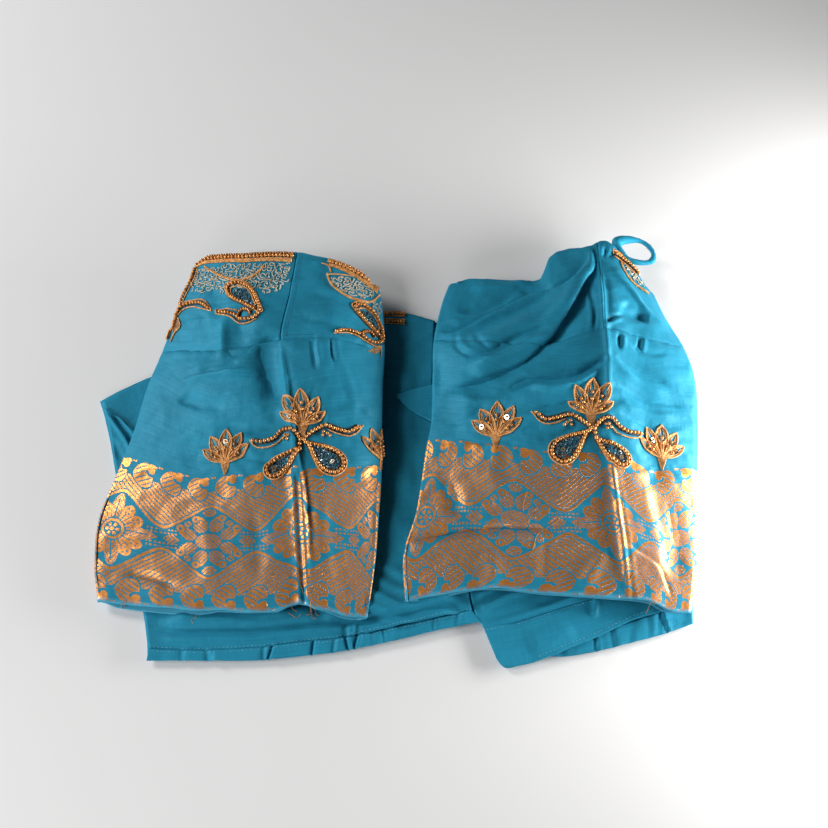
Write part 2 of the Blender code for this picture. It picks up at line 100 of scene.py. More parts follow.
# rolled edges: inset from the sections, greatest bulge and the run of the fall beyond, mm
EDGE_INSET = 1.6
MAX_BULGE = 1.8
SIDE_RUN = 9.0
# the lower cuff shows this much below the upper one, along x
LOWER_CUFF = 2.6
LOWER_CUFF_SPAN = ((-176, 0.4), (-165, 1), (-118, 1), (-104, 0))
# underside of the rolled edges, mm: (neck, armhole, hem), outer and inner side
LEFT_TUCKS = ((6.0, 6.4, 4.2), (6.4, 6.4, 7.0))
RIGHT_TUCKS = ((7.0, 7.2, 7.0), (6.0, 5.8, 7.0))
# the cuff's own dips below the sections and the border's rise above them, mm along x
LEFT_CUFF = ((-180, 0), (-130, -0.5), (-100, -1.2), (-86, -3.5), (-68, -5.0), (-60, -2.0), (-54, -1.0),
             (-46, -4.5), (-14, -4.8))
RIGHT_CUFF = ((6, -0.8), (36, 2.0), (52, 4.0), (68, 3.2), (87, 1.2), (127, 1.2), (150, 1.5), (165, -1.2),
              (178, -2.6))
LEFT_RISE = ((-176, 11), (-158, 8), (-140, 4), (-118, 1), (-100, 3), (-84, 2), (-66, 6), (-55, 3), (-8, 4))
RIGHT_RISE = ((19, 8), (46, 9), (67, 9), (86, 7), (107, 3.5), (128, 3), (146, -0.5), (159, -3.5), (178, -1),
              (191, -2))
# how far the neck edge reaches past the first section, along x, and the rows over which it fades
NECK_FLAP = ((-146, 0), (-138, 3), (-132, 4.8), (-125, 3.6), (-117, 2.2), (-104, 0), (64, 0), (84, -2),
             (95, -4), (99.5, -3.5), (102, 2), (106, 12), (112, 13.5), (120, 10), (129, 3), (136, 1),
             (142, 3.5), (147, 4), (152, 1.5), (158, 0))
NECK_FLAP_DEPTH = 0.45

# main folds, which the solids have too: start, middle and end of the line, width, height, lean
MAIN_FOLDS = (
    # x0, y0, x1, y1, x2, y2, width, height, lean
    (-84, 60, -81, 33, -74, 8, 8, -3.4, 0),
    (-76, 60, -66, 10, -50, -121, 4.5, 1.3, 0),
    (-136, 42, -112, 37, -91, 27, 6, 1.8, -0.3),
    (-138, 22, -124, 14, -106, 7, 4.5, -1.6, 0),
    (-115, -6, -85, -13, -60, -12, 5, -1.3, 0.3),
    (-106, -24, -82, -32, -60, -36, 5, -1.2, 0.3),
    (-163, -95, -147, -100, -128, -107, 5, -0.9, 0),
    (-42, 92, -45, 50, -42, 6, 13, 2.6, 0),
    (-22, -60, -22, -92, -24, -124, 14, -1.8, 0),
    (28, 50, 86, 66, 133, 124, 13, 4.2, 0),
    (136, 124, 124, 42, 28, 27, 6, -2, 0.1),
    (138, 38, 112, 26, 72, 22, 4.5, -3, 0.3),
    (132, 20, 104, 15, 70, 14, 5.5, 1.6, 0),
    (41, 36, 48, 12, 48, -10, 7, 1.5, 0),
    (134, 124, 78, 74, 24, 71, 5, -1.8, -0.4),
    (155, 104, 157, 20, 163, -114, 9, -1.9, 0),
    (152, 92, 159, 84, 170, 80, 4.5, -2.2, 0),
    (149, 124, 158, 108, 167, 93, 4.5, 1.6, 0),
    (141, 47, 160, 33, 180, 28, 5.5, -1.6, 0.2),
    (142, 21, 162, 14, 189, 15, 5.5, -1.3, 0.2),
    (10, -74, 50, -66, 102, -72, 4.5, -2, 0.45),
    (12, -81, 50, -77, 100, -80, 6, 1.2, 0),
    (139, 122, 139, 40, 134, -10, 4, 1.2, 0),
    (134, -10, 136, -70, 142, -119, 4, 1.2, 0),
)
# finer creases of the thin silk: width, height, lean, then the points of the line
CREASES = (
    (6, -1.6, 0, (-83, 60), (-81, 52), (-79, 42), (-77, 30), (-74.5, 12)),
    (3.2, 1.3, 0, (-114.5, 82), (-113, 62), (-112, 42)),
    (7.5, -2.2, 0, (-101.5, 80), (-101.5, 60), (-100, 42)),
    (1.7, 0.9, 0, (-76, 58), (-71, 33), (-63, -10), (-55, -60), (-50, -119)),
    (2.2, -0.6, 0, (-72, 56), (-67, 30), (-59, -12), (-51, -62), (-46, -119)),
    (2.6, 1.9, -0.4, (-137, 32.5), (-123, 33.4), (-109.5, 32.9), (-89, 32.5)),
    (2.4, -1.1, 0.3, (-127, 37), (-112, 37.3), (-99, 40)),
    (1.6, -1, 0.3, (-140, 19.6), (-131, 14.9), (-120, 8.4)),
    (1.7, -0.9, 0.4, (-113, -4), (-97, -8), (-82, -11.5), (-58, -10)),
    (1.7, -0.9, 0.4, (-105, -23), (-93, -27), (-81, -31), (-59, -37)),
    (2.4, 0.6, 0, (-96, -13), (-80, -20), (-62, -22)),
    (2.2, -0.7, 0.2, (-128, -14), (-112, -22), (-96, -42)),
    (1.4, -1, 0.5, (-54, 58), (-53, 48), (-50, 30)),
    (1.8, 0.7, 0, (-50, 58), (-49, 48), (-47, 36)),
    (1.4, -0.9, 0.5, (-42, 59), (-41, 49), (-38, 31)),
    (1.8, 0.6, 0, (-38, 58), (-37, 49), (-35, 38)),
    (2.4, -0.9, 0.2, (-34, 20), (-26, 10), (-16, 6)),
    (2.2, -0.8, 0.2, (-44, -6), (-30, -12), (-14, -12)),
    (4, -1, 0, (-52, 16), (-46, -2), (-44, -24)),
    (3, 0.7, 0, (-36, 44), (-28, 22), (-24, -2)),
    (1.8, -0.8, 0.3, (-164, -97), (-147, -100), (-128, -108)),
    (4, -0.6, 0, (-150, -60), (-138, -74), (-120, -84)),
    (5, -0.8, 0, (-88, -58), (-82, -80), (-78, -104)),
    (4, 0.9, 0, (-44, -46), (-42, -76), (-38, -108)),
    (5, 0.8, 0, (-118, -52), (-112, -80), (-106, -112)),
    # left shoulder
    (6, -0.8, 0, (-128, 112), (-118, 92), (-112, 68)),
    (5, 0.7, 0, (-100, 70), (-92, 84), (-80, 94)),
    (3, -0.7, 0.2, (-58, 96), (-44, 90), (-30, 82)),
    (3.2, -0.8, 0.3, (-66, 74), (-50, 70), (-34, 66), (-16, 64)),
    (4, 0.6, 0, (-60, 110), (-48, 100), (-34, 96)),
    # right shoulder: hollow and ridge inside the big roll, dart, stitched pleat box
    (7, -0.6, 0, (139, 128), (131, 101.5), (122.4, 83.5), (114, 69.5), (105, 59), (92, 47), (74, 37)),
    (5, 0.9, 0, (130, 114), (118.5, 95.6), (106.7, 80.3), (92.7, 68.3), (76, 54.5), (61.5, 46), (44, 38)),
    (4.2, -1.7, 0.3, (103, 73), (94, 68), (84, 65), (77, 61), (68, 54), (62, 51), (50, 50)),
    (3.2, 1.5, 0, (102, 67), (96, 62), (85, 57.5), (77, 53), (68, 48.5), (58, 46), (46, 44)),
    (8, 1.2, 0, (62, 52), (60, 42), (54, 34)),
    (6, -0.9, 0, (27, 54), (28, 42), (31, 32)),
    (1.1, -0.9, 0, (130.5, 104), (131.8, 90), (132, 77), (130, 62)),
    (1.4, 0.5, 0, (127.5, 103), (129, 90), (129.3, 77), (127, 62)),
    (1.2, -0.9, 0.3, (40, 73), (41, 60), (47, 52), (56, 51.5), (63, 53)),
    (1.3, -0.8, 0.3, (53, 71), (56, 61), (63, 53.5)),
    (1.6, 0.7, 0, (44, 72), (45, 61), (50, 55), (57, 55)),
    (3.4, -1, 0.3, (40, 92), (62, 93), (84, 108)),
    (3, -0.9, 0.3, (84.6, 110), (91, 106), (99, 106), (108, 112)),
    (2.6, 0.8, 0, (34, 84), (52, 83), (76, 95)),
    (3.5, 0.9, 0, (48, 112), (74, 112), (96, 118)),
    (2, -1.1, 0, (138, 140), (139, 133), (137, 124)),
    (1.8, 0.8, 0, (134, 138), (134, 128), (131, 118)),
    (1.8, -0.9, 0, (145, 141), (144, 135), (141, 130)),
    (1.8, 0.8, 0, (142, 141), (141, 134), (139.5, 128)),
    (1.8, -0.9, 0, (152, 139), (149, 134), (145, 131)),
    # right sleeve above the border
    (2.8, -1.7, 0.3, (138, 45), (133.6, 39.6), (127, 34), (115, 28), (101, 26), (87, 28), (78, 25), (69, 21)),
    (2.6, 1.9, 0, (137, 39), (131, 34), (122, 25), (110, 20), (98, 19), (87, 22), (77, 19.5)),
    (2.4, -0.9, 0.3, (126, 10), (112, 8), (98, 5), (72, 6)),
    (2.4, 0.7, 0, (124, 5), (110, 2), (96, 0), (76, 1)),
    (2.4, -0.8, 0.3, (96, -6), (76, -10), (52, -8)),
    (2.4, -0.8, 0.2, (116, -6), (104, -14), (88, -18)),
    (2.2, -0.7, 0.2, (58, 14), (48, 4), (34, 2)),
    (2, -0.7, 0.2, (40, -8), (56, -14), (74, -14)),
    (2.6, 0.7, 0, (40, 22), (54, 16), (72, 14)),
    (3, 0.6, 0, (44, 8), (58, -2), (80, -4)),
    (4, 0.9, 0, (130, -86), (120, -98), (110, -112)),
    (4.5, -0.8, 0, (30, -30), (38, -50), (40, -64)),
    (4.5, 0.8, 0, (58, -84), (60, -98), (58, -110)),
    (4, -0.8, 0, (92, -78), (92, -94), (88, -110)),
    # facet right of the right ridge
    (1.5, 0.9, 0, (139, 121), (138.5, 100), (137.6, 80), (137.4, 62), (137, 40), (135, 15), (134, -8)),
    (1.5, 0.9, 0, (134, -10), (135, -40), (137, -75), (141, -118)),
    (2.4, -0.7, 0, (142, 118), (142, 98), (141, 80), (141, 60)),
    (1.9, 1, 0, (151, 112), (157, 106), (162, 99), (168, 89), (178, 81)),
    (5.5, -1.5, 0, (148, 84), (158, 82), (169, 85)),
    (1.5, 0.9, 0, (138, 66), (143, 71), (150, 75)),
    (1.5, -0.9, 0, (139, 70), (144, 76), (152, 80)),
    (1.4, -1, 0.4, (146, 62), (145.5, 56), (145, 49)),
    (1.8, 0.7, 0, (149.5, 62), (149, 56), (148, 50)),
    (1.4, -0.9, 0.4, (161, 63.5), (159.5, 57), (158, 50)),
    (1.8, 0.6, 0, (164.5, 63.5), (163, 57), (161.5, 51)),
    (2, -0.9, 0.4, (139, 45), (157, 33), (180, 28)),
    (2, -0.9, 0.4, (137, 23), (162, 14), (189, 15)),
    (2.2, 0.7, 0, (140, 37), (158, 25), (178, 21)),
    (2, -0.8, 0.3, (137, 3), (160, -4), (188, -2)),
    (2.4, 0.7, 0, (140, 10), (160, 4), (184, 6)),
    (2.4, -0.7, 0.2, (152, 56), (164, 50), (182, 54)),
    (5, 0.8, 0, (152, -40), (158, -74), (160, -108)),
    (5, -0.8, 0, (170, -44), (172, -74), (170, -108)),
)
# folds whose upper side hangs over: height, its width, depth, its width, overhang, then the line;
# the high side is on the left of the line
LIPS = (
    (2.2, 8.5, 2.1, 6, 1.9, (29, 27), (42, 31), (60, 35), (76, 40.5), (86, 46), (97, 57), (105.5, 67),
     (118, 89), (128, 110), (134, 119), (138, 130)),
    (1.9, 6, 2.1, 5, 1.3, (134, 133), (126, 118), (116, 108.5), (104, 104), (91, 101.5), (67, 88),
     (43, 75), (26, 76)),
    (0.9, 5, 1.3, 3, 1.6, (10, -75), (26, -72.5), (49, -69.5), (66, -69.5), (84, -71), (103, -72.5)),
    (0.5, 4, 0.9, 2.6, 0.8, (166, -116), (158, -97), (146, -88), (139, -84)),
)

# where the embroidery draws the silk in: x, y and reach, mm
SEWN_SPOTS = ((-103, -28, 17), (-56, -14, 26), (-56, 6, 18), (-10, -22, 15), (64, -8, 17), (123, -8, 27),
              (123, 10, 18), (167, -24, 16), (-101, 90, 18), (-18, 76, 17), (-136, 92, 14))

# creases of the flat body: the wing's seam at the left, the folds over the right hem
BODY_CREASES = (
    (1.5, 1.5, 0, (-188, 17), (-181, 8), (-172, -5), (-167, -18)),
    (1.5, -1.2, 0, (-185, 18), (-178, 9), (-169, -3), (-164, -14)),
    (1.3, 1.1, 0, (-182, 18), (-175, 9), (-167, 0)),
    (2.4, -1.2, 0, (-184, 0), (-179, -8), (-174, -18)),
    (1.8, 2.2, 0.2, (50, -110.5), (57, -106.5), (66, -101)),
    (2.2, 2.4, 0.2, (51.5, -121.5), (63.5, -112.6), (84, -105)),
    (1.8, 2, 0, (53, -129.2), (74.6, -123.4), (96.4, -115.6), (118, -106.5)),
    (1.6, -0.8, 0, (66, -128.5), (92, -120), (108, -114.6)),
    (9, 1.9, 0, (78, -141), (94, -136), (108, -128)),
    (1.8, 1.6, 0, (119.5, -124), (121.5, -117), (121.5, -109)),
    (4, 0.9, 0, (140, -127), (152, -119), (164, -113)),
    (1.2, 1.5, -0.3, (84, -150), (124.8, -136.6), (150.9, -124.6), (173, -117)),
    (1.3, -0.9, 0, (100, -147), (125, -138.8), (151, -127), (173, -119.6)),
    (1.6, 1.5, 0, (-24.4, -126), (-24.4, -134), (-24.6, -143)),
    (1.2, -1, 0, (-27.7, -126), (-28, -134), (-28, -145)),
    (1.2, -1, 0, (-20.7, -128), (-20.8, -135), (-20.9, -144)),
    (5, -1.8, 0, (-48, -112), (-44, -120), (-40, -128)),
    (12, 2, 0, (-74, -108), (-72, -118), (-70, -126)),
    (4, -0.9, 0, (-126, -118), (-112, -121), (-96, -116)),
)
DEEP_PUCKERS = (-69.5, -46.2, -28, -20.9, 119.8, 163.8)
PUCKERS = (-124, -111, -103, -92, -76.6, -69.5, -60.4, -46.2, -34, -28, -20.9, -12.7, -5.6, 1.4, 14, 24, 36,
           72, 79, 88, 97, 108, 119.8, 130, 141, 147, 152, 157, 163.8, 171)

# outlines of the flat pieces, mm
BACK_TOP = ((-194, 27), (-184, 34), (-172, 41), (-158, 48), (-120, 62), (-60, 84), (0, 92), (60, 84),
            (140, 62), (190, 45))
BACK_LEFT = ((-194, 27), (-189, 14), (-183, -5), (-177, -27), (-163, -73), (-150, -118), (-145, -139))
BACK_RIGHT = ((190, 45), (190, 5), (187, -40), (183, -80), (180, -113))
BACK_SEAM = ((-145, -139), (-89, -139), (-43, -136), (4, -124), (40, -116), (60, -118), (84, -134),
             (99, -136), (120, -132), (140, -126), (161, -119), (180, -113))
BACK_HEM = ((-144, -147), (-89, -147.5), (-43, -144), (4, -132), (40, -123), (62, -129), (80, -144),
            (99, -147), (119, -144), (139, -139), (161, -133), (179, -126.5))
FRONT_LEFT_TOP = ((-190.5, 22), (-180, 14), (-168, 5), (-140, 2), (-90, 32), (-50, 74), (-15, 96),
                  (4, 97), (27, 90))
FRONT_LEFT_SIDE = ((-190.5, 22), (-186, 10), (-182, -5), (-176, -27), (-162, -73), (-149.5, -118),
                   (-143.5, -143))
FRONT_LEFT_EDGE = ((27, 90), (26, 60), (25, 30), (26, 0), (31, -30), (42, -85), (47, -119))
LEFT_SEAM = ((-143.5, -143), (-113, -144), (-79, -142), (-55, -139), (-28, -136), (4, -129), (30, -123),
             (47, -119))
LEFT_HEM = ((-144, -150), (-118, -150), (-89, -150), (-69, -149), (-43, -146), (-28, -144), (4, -137),
            (28, -131), (52, -126))
FRONT_RIGHT_TOP = ((28.5, 70), (100, 66), (190, 44))
FRONT_RIGHT_EDGE = ((28.5, 70), (26.6, 30), (27, 0), (32.2, -30), (43.2, -85), (48.3, -118), (54, -130))
FRONT_RIGHT_SIDE = ((190, 44), (189, 5), (186, -40), (182, -80), (179, -101))
RIGHT_SEAM = ((54, -130), (70, -127), (89, -121), (111, -114), (140, -107), (179, -101))
RIGHT_HEM = ((61, -149), (63.5, -152.5), (67, -154.5), (74, -153), (86, -150), (103, -143), (120, -136),
             (141, -126), (160, -120), (179, -113))
CORNER_TOP = ((1.6, 30.4), (11, 34), (22, 37), (29.3, 39.5))
CORNER_BOTTOM = ((1.6, 28), (7, 22), (14, 16), (29.3, 7))
# levels of the flat pieces' undersides and their cloth, mm
PANEL_Z = 1.5
PAD_Z = 3.1
CORNER_Z = 3.8
CLOTH = 1.2
FLAT_WALL = 0.8
LAYER_WALL = 0.5
# the layers folded away under one side
PASSES = 5

# brocade border: one unit of the woven pattern, mm, round the sleeve and up it; the border's height
# and the width of one motif's cell, in units
UNIT_ROUND = 0.975
UNIT_UP = 0.805
BORDER_UNITS = 100.0
CELL = 58.0

# piping of the tie's loop, and sewn work, mm
LOOP_RADIUS = 11.0
LOOP_PIPING = 1.9
CORD_PITCH = 1.9
CORD_STEP = 0.37
THREAD_STEP = 0.6
DARK_STEP = 0.7
FILL_STEP = 0.55
CHIP_STEP = 1.35
STITCH = (1.5, 0.42, 0.36)

# small finishes: darker and lighter colour, speck scale, roughness, metal and depth of the relief, m
FINISHES = {
    "zari_thread": ((196, 134, 74), (234, 180, 116), 420.0, 0.40, 0.20, 0.0002),
    "zari_cord": ((219.52, 150.08, 82.88), (262.08, 201.6, 129.92), 420.0, 0.40, 0.20, 0.0002),
    # dark thread beside the bead rows: partly couching thread, partly painted shade where the beads shade the
    # silk
    "bronze_thread_and_shade": ((44, 30, 22), (92, 62, 38), 420.0, 0.5, 0.1, 0.0002),
    "cream_floss": ((190, 172, 140), (226, 220, 200), 380.0, 0.55, 0.0, 0.0002),
    "gold_bead": ((196, 126, 62), (240, 176, 104), 330.0, 0.26, 0.45, 0.00005),
    "sequin_foil": ((222, 182, 130), (240, 226, 205), 260.0, 0.22, 0.9, 0.00005),
    "crystal_chip": ((30, 72, 92), (116, 146, 156), 600.0, 0.22, 0.1, 0.00005),
    "silk_thread": ((14, 84, 112), (34, 126, 158), 300.0, 0.5, 0.0, 0.0002),
    # hem stitches made paler than the silk: a painted highlight for the light they catch
    "painted_highlight_thread": ((58, 146, 176), (112, 186, 208), 300.0, 0.5, 0.0, 0.0002),
}

# stage: lamp, place, aim, power in watts, size and tint, and the camera's aim, mm
LAMPS = (
    ("left", (-1.46, -0.39, 0.87), (0, 0, 0), 14.5, (0.80, 0.60), (1.0, 1.0, 1.0)),
    ("back_left", (-1.31, 0.76, 0.87), (0, 0, 0), 13.0, (0.50, 0.50), (1.0, 1.0, 1.0)),
    ("side", (0.43, -0.03, 0.072), (0.12, 0, 0.015), 3.6, (0.34, 0.06), (1.0, 0.99, 0.97)),
    ("front", (-0.49, -0.84, 0.24), (0, 0, 0), 3.0, (0.50, 0.30), (1.0, 1.0, 1.0)),
)
SKY_STRENGTH = 0.035
CAMERA_AIM = (12.6, 11.4, 12.0)
CAMERA_RISE = 60          # degrees above the floor
CAMERA_AWAY = 0.80        # m
FLOOR_SIZE = 3.0
FLOOR_Z = -0.0004


# ---------------------------------------------------------------- small maths

def curve_at(points, t):
    """Smooth curve through points at each t, counted in points from the first."""
    p = np.asarray(points, dtype=float)
    t = np.atleast_1d(np.asarray(t, dtype=float))
    last = len(p) - 1
    i = np.clip(np.floor(t).astype(int), 0, last - 1)
    f = (t - i).reshape((-1,) + (1,) * (p.ndim - 1))
    padded = np.concatenate((2 * p[:1] - p[1:2], p, 2 * p[-1:] - p[-2:-1]))
    before, a, b, after = padded[i], padded[i + 1], padded[i + 2], padded[i + 3]
    ta, tb = (b - before) / 2, (after - a) / 2
    return ((2 * f**3 - 3 * f**2 + 1) * a + (f**3 - 2 * f**2 + f) * ta
            + (3 * f**2 - 2 * f**3) * b + (f**3 - f**2) * tb)


def ease(x):
    x = np.clip(x, 0, 1)
    return x * x * (3 - 2 * x)


def grain(x, y, cell, seed):
    """Smooth uneven relief from -1 to 1, with bumps about cell wide."""
    u, v = x / cell, y / cell
    i, j = np.floor(u), np.floor(v)
    f, g = ease(u - i), ease(v - j)

    def spot(a, b):
        n = np.sin(a * 127.1 + b * 311.7 + seed * 74.7) * 43758.5453
        return (n - np.floor(n)) * 2 - 1

    low = spot(i, j) * (1 - f) + spot(i + 1, j) * f
    high = spot(i, j + 1) * (1 - f) + spot(i + 1, j + 1) * f
    return low * (1 - g) + high * g


def fold_relief(x, y, folds):
    """Height that folds add at plan points x, y."""
    total = np.zeros_like(x)
    s = np.linspace(0, 1, 65)
    for x0, y0, x1, y1, x2, y2, width, height, lean in folds:
        px = (1 - s)**2 * x0 + 2 * s * (1 - s) * x1 + s**2 * x2
        py = (1 - s)**2 * y0 + 2 * s * (1 - s) * y1 + s**2 * y2
        span = 3.2 * width
        near_by = ((x > px.min() - span) & (x < px.max() + span)
                   & (y > py.min() - span) & (y < py.max() + span))
        if not near_by.any():
            continue
        a, b = x[near_by], y[near_by]
        dx, dy = np.gradient(px), np.gradient(py)
        away = (a[:, None] - px)**2 + (b[:, None] - py)**2
        near = away.argmin(-1)
        side = ((a - px[near]) * dy[near] - (b - py[near]) * dx[near]) / np.hypot(dx, dy)[near]
        reach = width * np.where(side > 0, 1 + lean, 1 - lean)
        ends = ease(np.minimum(s[near], 1 - s[near]) / 0.22)
        far = np.where((near > 0) & (near < 64), side**2, away.min(-1))
        total[near_by] += height * (0.2 + 0.8 * ends) * np.exp(-far / reach**2)
    return total


def line_distance(x, y, line):
    """Signed distance from a smooth line, positive on its left, and the place along it, 0 to 1."""
    t = np.linspace(0, len(line) - 1, 12 * (len(line) - 1) + 1)
    px, py = curve_at(np.array(line, dtype=float), t).T
    dx, dy = np.gradient(px), np.gradient(py)
    away = (x[:, None] - px)**2 + (y[:, None] - py)**2
    near = away.argmin(-1)
    size = np.hypot(dx, dy)
    across = ((y - py[near]) * dx[near] - (x - px[near]) * dy[near]) / size[near]
    inner = (near > 0) & (near < len(t) - 1)
    away = np.where(inner, across, np.where(across >= 0, 1.0, -1.0) * np.sqrt(away.min(-1)))
    return away, t[near] / t[-1], dx[near] / size[near], dy[near] / size[near]


def table_at(x, pairs):
    """Value at x in a table of (x, value) pairs."""
    return np.interp(x, *np.array(pairs).T)


def near_line(x, y, line, span):
    px, py = np.array(line, dtype=float).T
    return ((x > px.min() - span) & (x < px.max() + span)
            & (y > py.min() - span) & (y < py.max() + span))


def crease_relief(x, y, creases=CREASES):
    total = np.zeros_like(x)
    for width, height, lean, *line in creases:
        part = near_line(x, y, line, 3 * width)
        if part.any():
            away, run, _, _ = line_distance(x[part], y[part], line)
            reach = width * np.where(away > 0, 1 + lean, 1 - lean)
            ends = ease(np.minimum(run, 1 - run) / 0.25)
            total[part] += height * (0.15 + 0.85 * ends) * np.exp(-(away / reach)**2)
    return total


def lip_relief(x, y):
    """Lift and sideways push, mm, of the folds that hang over."""
    move = np.zeros(x.shape + (3,))
    for height, wide, depth, narrow, over, *line in LIPS:
        part = near_line(x, y, line, 3 * wide)
        if not part.any():
            continue
        away, run, dx, dy = line_distance(x[part], y[part], line)
        high = ease((away + 1.5) / 3.0)
        ends = ease(np.minimum(run, 1 - run) / 0.16)
        lift = high * height * np.exp(-(away / wide)**2) - (1 - high) * depth * np.exp(-(away / narrow)**2)
        push = high * over * np.exp(-(away / 3.5)**2) * ends
        move[part] += np.stack((dy * push, -dx * push, lift * ends), axis=-1)
    return move


def crumple(x, y, seed):
    """Soft creasing of thin silk that has been folded and handled."""
    a = x * 0.94 + y * 0.34
    b = y * 0.94 - x * 0.34
    wide = np.abs(grain(a, b * 1.7, 31.0, seed))
    middle = np.abs(grain(a + 7, b * 1.5, 15.0, seed + 3))
    small = grain(a, b * 1.3, 6.5, seed + 5)
    ripple = np.abs(grain(x + 0.3 * y, y, 9.0, seed + 9)) * grain(x * 0.16, y, 4.2, seed + 8)
    return 0.95 * (0.5 - wide) + 0.50 * (0.5 - middle) + 0.12 * small + 0.34 * ripple


# ---------------------------------------------------------------- cloth surfaces

def side_points(edge, low, out):
    """Rolled edge from its top down to its underside, on the side that out points to."""
    x, y, z = edge
    drop = z - low
    bulge = min(MAX_BULGE, 0.35 * drop)
    profile = ((0.65, 0.25), (1.0, 0.55), (0.55, 0.85), (-0.5, 1.0))
    return [(x + out * bulge * side, y, z - drop * down) for side, down in profile]


def between(values, v):
    neck, armhole, hem = values
    if v < ROW_ARMHOLE:
        return neck + (armhole - neck) * v / ROW_ARMHOLE
    return armhole + (hem - armhole) * (v - ROW_ARMHOLE) / (ROW_HEM - ROW_ARMHOLE)


def across(table, tucks, v, top_t, side_count):
    """Points across one side at row v from its left tuck to its right tuck, and each point's
    share of the folds."""
    row = curve_at(table, v)[0].copy()
    row[0, 0] += EDGE_INSET
    row[4, 0] -= EDGE_INSET
    lows = between(tucks[0], v), between(tucks[1], v)
    fall_left = row[0] - (SIDE_RUN, 0, 0.8 * (row[0][2] - lows[0]) + 4)
    fall_right = row[4] - (-SIDE_RUN, 0, 0.8 * (row[4][2] - lows[1]) + 4)
    line = np.array([fall_left, *row, fall_right])
    top = curve_at(line, 1 + top_t)
    turns = []
    for end, edge, low, out in ((1.045, row[0], lows[0], -1), (4.955, row[4], lows[1], 1)):
        turn = [curve_at(line, end)[0], edge, *side_points(edge, low, out)]
        turns.append(curve_at(turn, 1 + np.linspace(0, 4, side_count + 1)[1:]))
    points = np.concatenate((turns[0][::-1], top, turns[1]))
    from_edge = np.minimum(top_t, 4 - top_t)
    share = 0.35 + 0.65 * ease(from_edge / 0.17)
    fall = 0.35 * np.clip(1 - np.arange(1, side_count + 1) / side_count, 0, 1)
    return points, np.concatenate((fall[::-1], share, fall))


def side_surface(table, tucks, rows, top_t, side_count):
    """Grid of points over one side, with the main folds, and the folds' share at each point."""
    grid, share = [], []
    for v in rows:
        points, part = across(table, tucks, v, top_t, side_count)
        share.append(part)
        grid.append(points)
    grid, share = np.array(grid), np.array(share)
    grid[..., 2] += share * fold_relief(grid[..., 0], grid[..., 1], MAIN_FOLDS)
    fade = np.clip(1 - np.asarray(rows) / NECK_FLAP_DEPTH, 0, None)[:, None]
    grid[..., 1] += fade * table_at(grid[..., 0], NECK_FLAP)
    corner = np.clip(1 - np.asarray(rows) / 0.22, 0, None)[:, None]**2
    near = np.minimum(grid[..., 0] - grid[..., :1, 0], grid[..., -1:, 0] - grid[..., 0])
    near = np.exp(-(np.maximum(near, 0) / 6.5)**2)
    middle = (grid[..., :1, 0] + grid[..., -1:, 0]) / 2
    grid[..., 1] -= 3.0 * corner * near
    grid[..., 0] += 2.6 * corner * near * np.sign(middle - grid[..., 0])
    return grid, share


def outward(grid):
    """Unit normals of a grid of points, upwards where it lies flat."""
    n = np.cross(np.gradient(grid, axis=0), np.gradient(grid, axis=1))
    n /= np.maximum(np.linalg.norm(n, axis=-1, keepdims=True), 1e-9)
    return n if n[..., 2].mean() > 0 else -n


def run_along(points):
    """Distance along a row of points from the first."""
    return np.concatenate(((0.0,), np.cumsum(np.linalg.norm(np.diff(points, axis=0), axis=1))))


def drawn_silk(x, y):
    """Small puckers where the embroidery's thread draws the silk in."""
    total = np.zeros_like(x)
    for a, b, reach in SEWN_SPOTS:
        far = np.hypot(x - a, (y - b) * 1.1)
        turn = np.arctan2(y - b, x - a)
        rays = np.sin(turn * 9 + 1.7 * np.sin(turn * 4 + a) + far * 0.12)
        part = np.exp(-((far - reach) / (0.5 * reach))**2)
        total += part * (0.20 * rays + 0.24 * grain(x, y, 4.4, a) + 0.07 * grain(x, y * 2, 3.0, b))
    return total


def silk_relief(grid, share, seed, amount):
    """Grid pushed along its normals by the fine creases and the silk's own crumple."""
    x, y = grid[..., 0], grid[..., 1]
    part = ease(share)
    lift = (amount * crease_relief(x, y) + crumple(x, y, seed) + drawn_silk(x, y)) * part
    return grid + outward(grid) * lift[..., None] + lip_relief(x, y) * part[..., None]


# ---------------------------------------------------------------- mesh making

def placed(point):
    """Point of the cutting table, mm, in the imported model's frame, metres."""
    return Vector((np.asarray(point) + SHIFT) * MM)


def add_mesh(name, work):
    mesh = bpy.data.meshes.new(name)
    work.to_mesh(mesh)
    work.free()
    return mesh


def add_object(name, made, finish):
    """Object of a mesh, or of the shape in a bmesh, in one finish."""
    mesh = add_mesh(name, made) if isinstance(made, bmesh.types.BMesh) else made
    mesh.materials.append(finish)
    item = bpy.data.objects.new(name, mesh)
    bpy.context.scene.collection.objects.link(item)
    return item


def sheet_mesh(name, points, lie, thick, finish, closed=False):
    """Sheet of cloth through a grid of points, mm; lie is each point's place on the cut cloth, m."""
    rows, cols = points.shape[:2]
    work = bmesh.new()
    bmesh.ops.create_grid(work, x_segments=cols - 1, y_segments=rows - 1, size=0.5)
    weave = work.loops.layers.uv.new("cloth")
    order = sorted(work.verts, key=lambda v: (round(-v.co.y, 6), round(v.co.x, 6)))
    spot = {v.index: divmod(k, cols) for k, v in enumerate(order)}
    for face in work.faces:
        face.smooth = True
        for corner in face.loops:
            corner[weave].uv = lie[spot[corner.vert.index]]
    for v in work.verts:
        v.co = placed(points[spot[v.index]])
    if closed:
        bmesh.ops.remove_doubles(work, verts=work.verts[:], dist=1e-6)
    bmesh.ops.recalc_face_normals(work, faces=work.faces)
    work.normal_update()
    if not closed and sum(f.normal.z * f.calc_area() for f in work.faces) < 0:
        bmesh.ops.reverse_faces(work, faces=work.faces)
    item = add_object(name, work, finish)
    wall = item.modifiers.new("thickness", "SOLIDIFY")
    wall.thickness = thick
    wall.offset = -1.0
    wall.use_rim = True
    return item


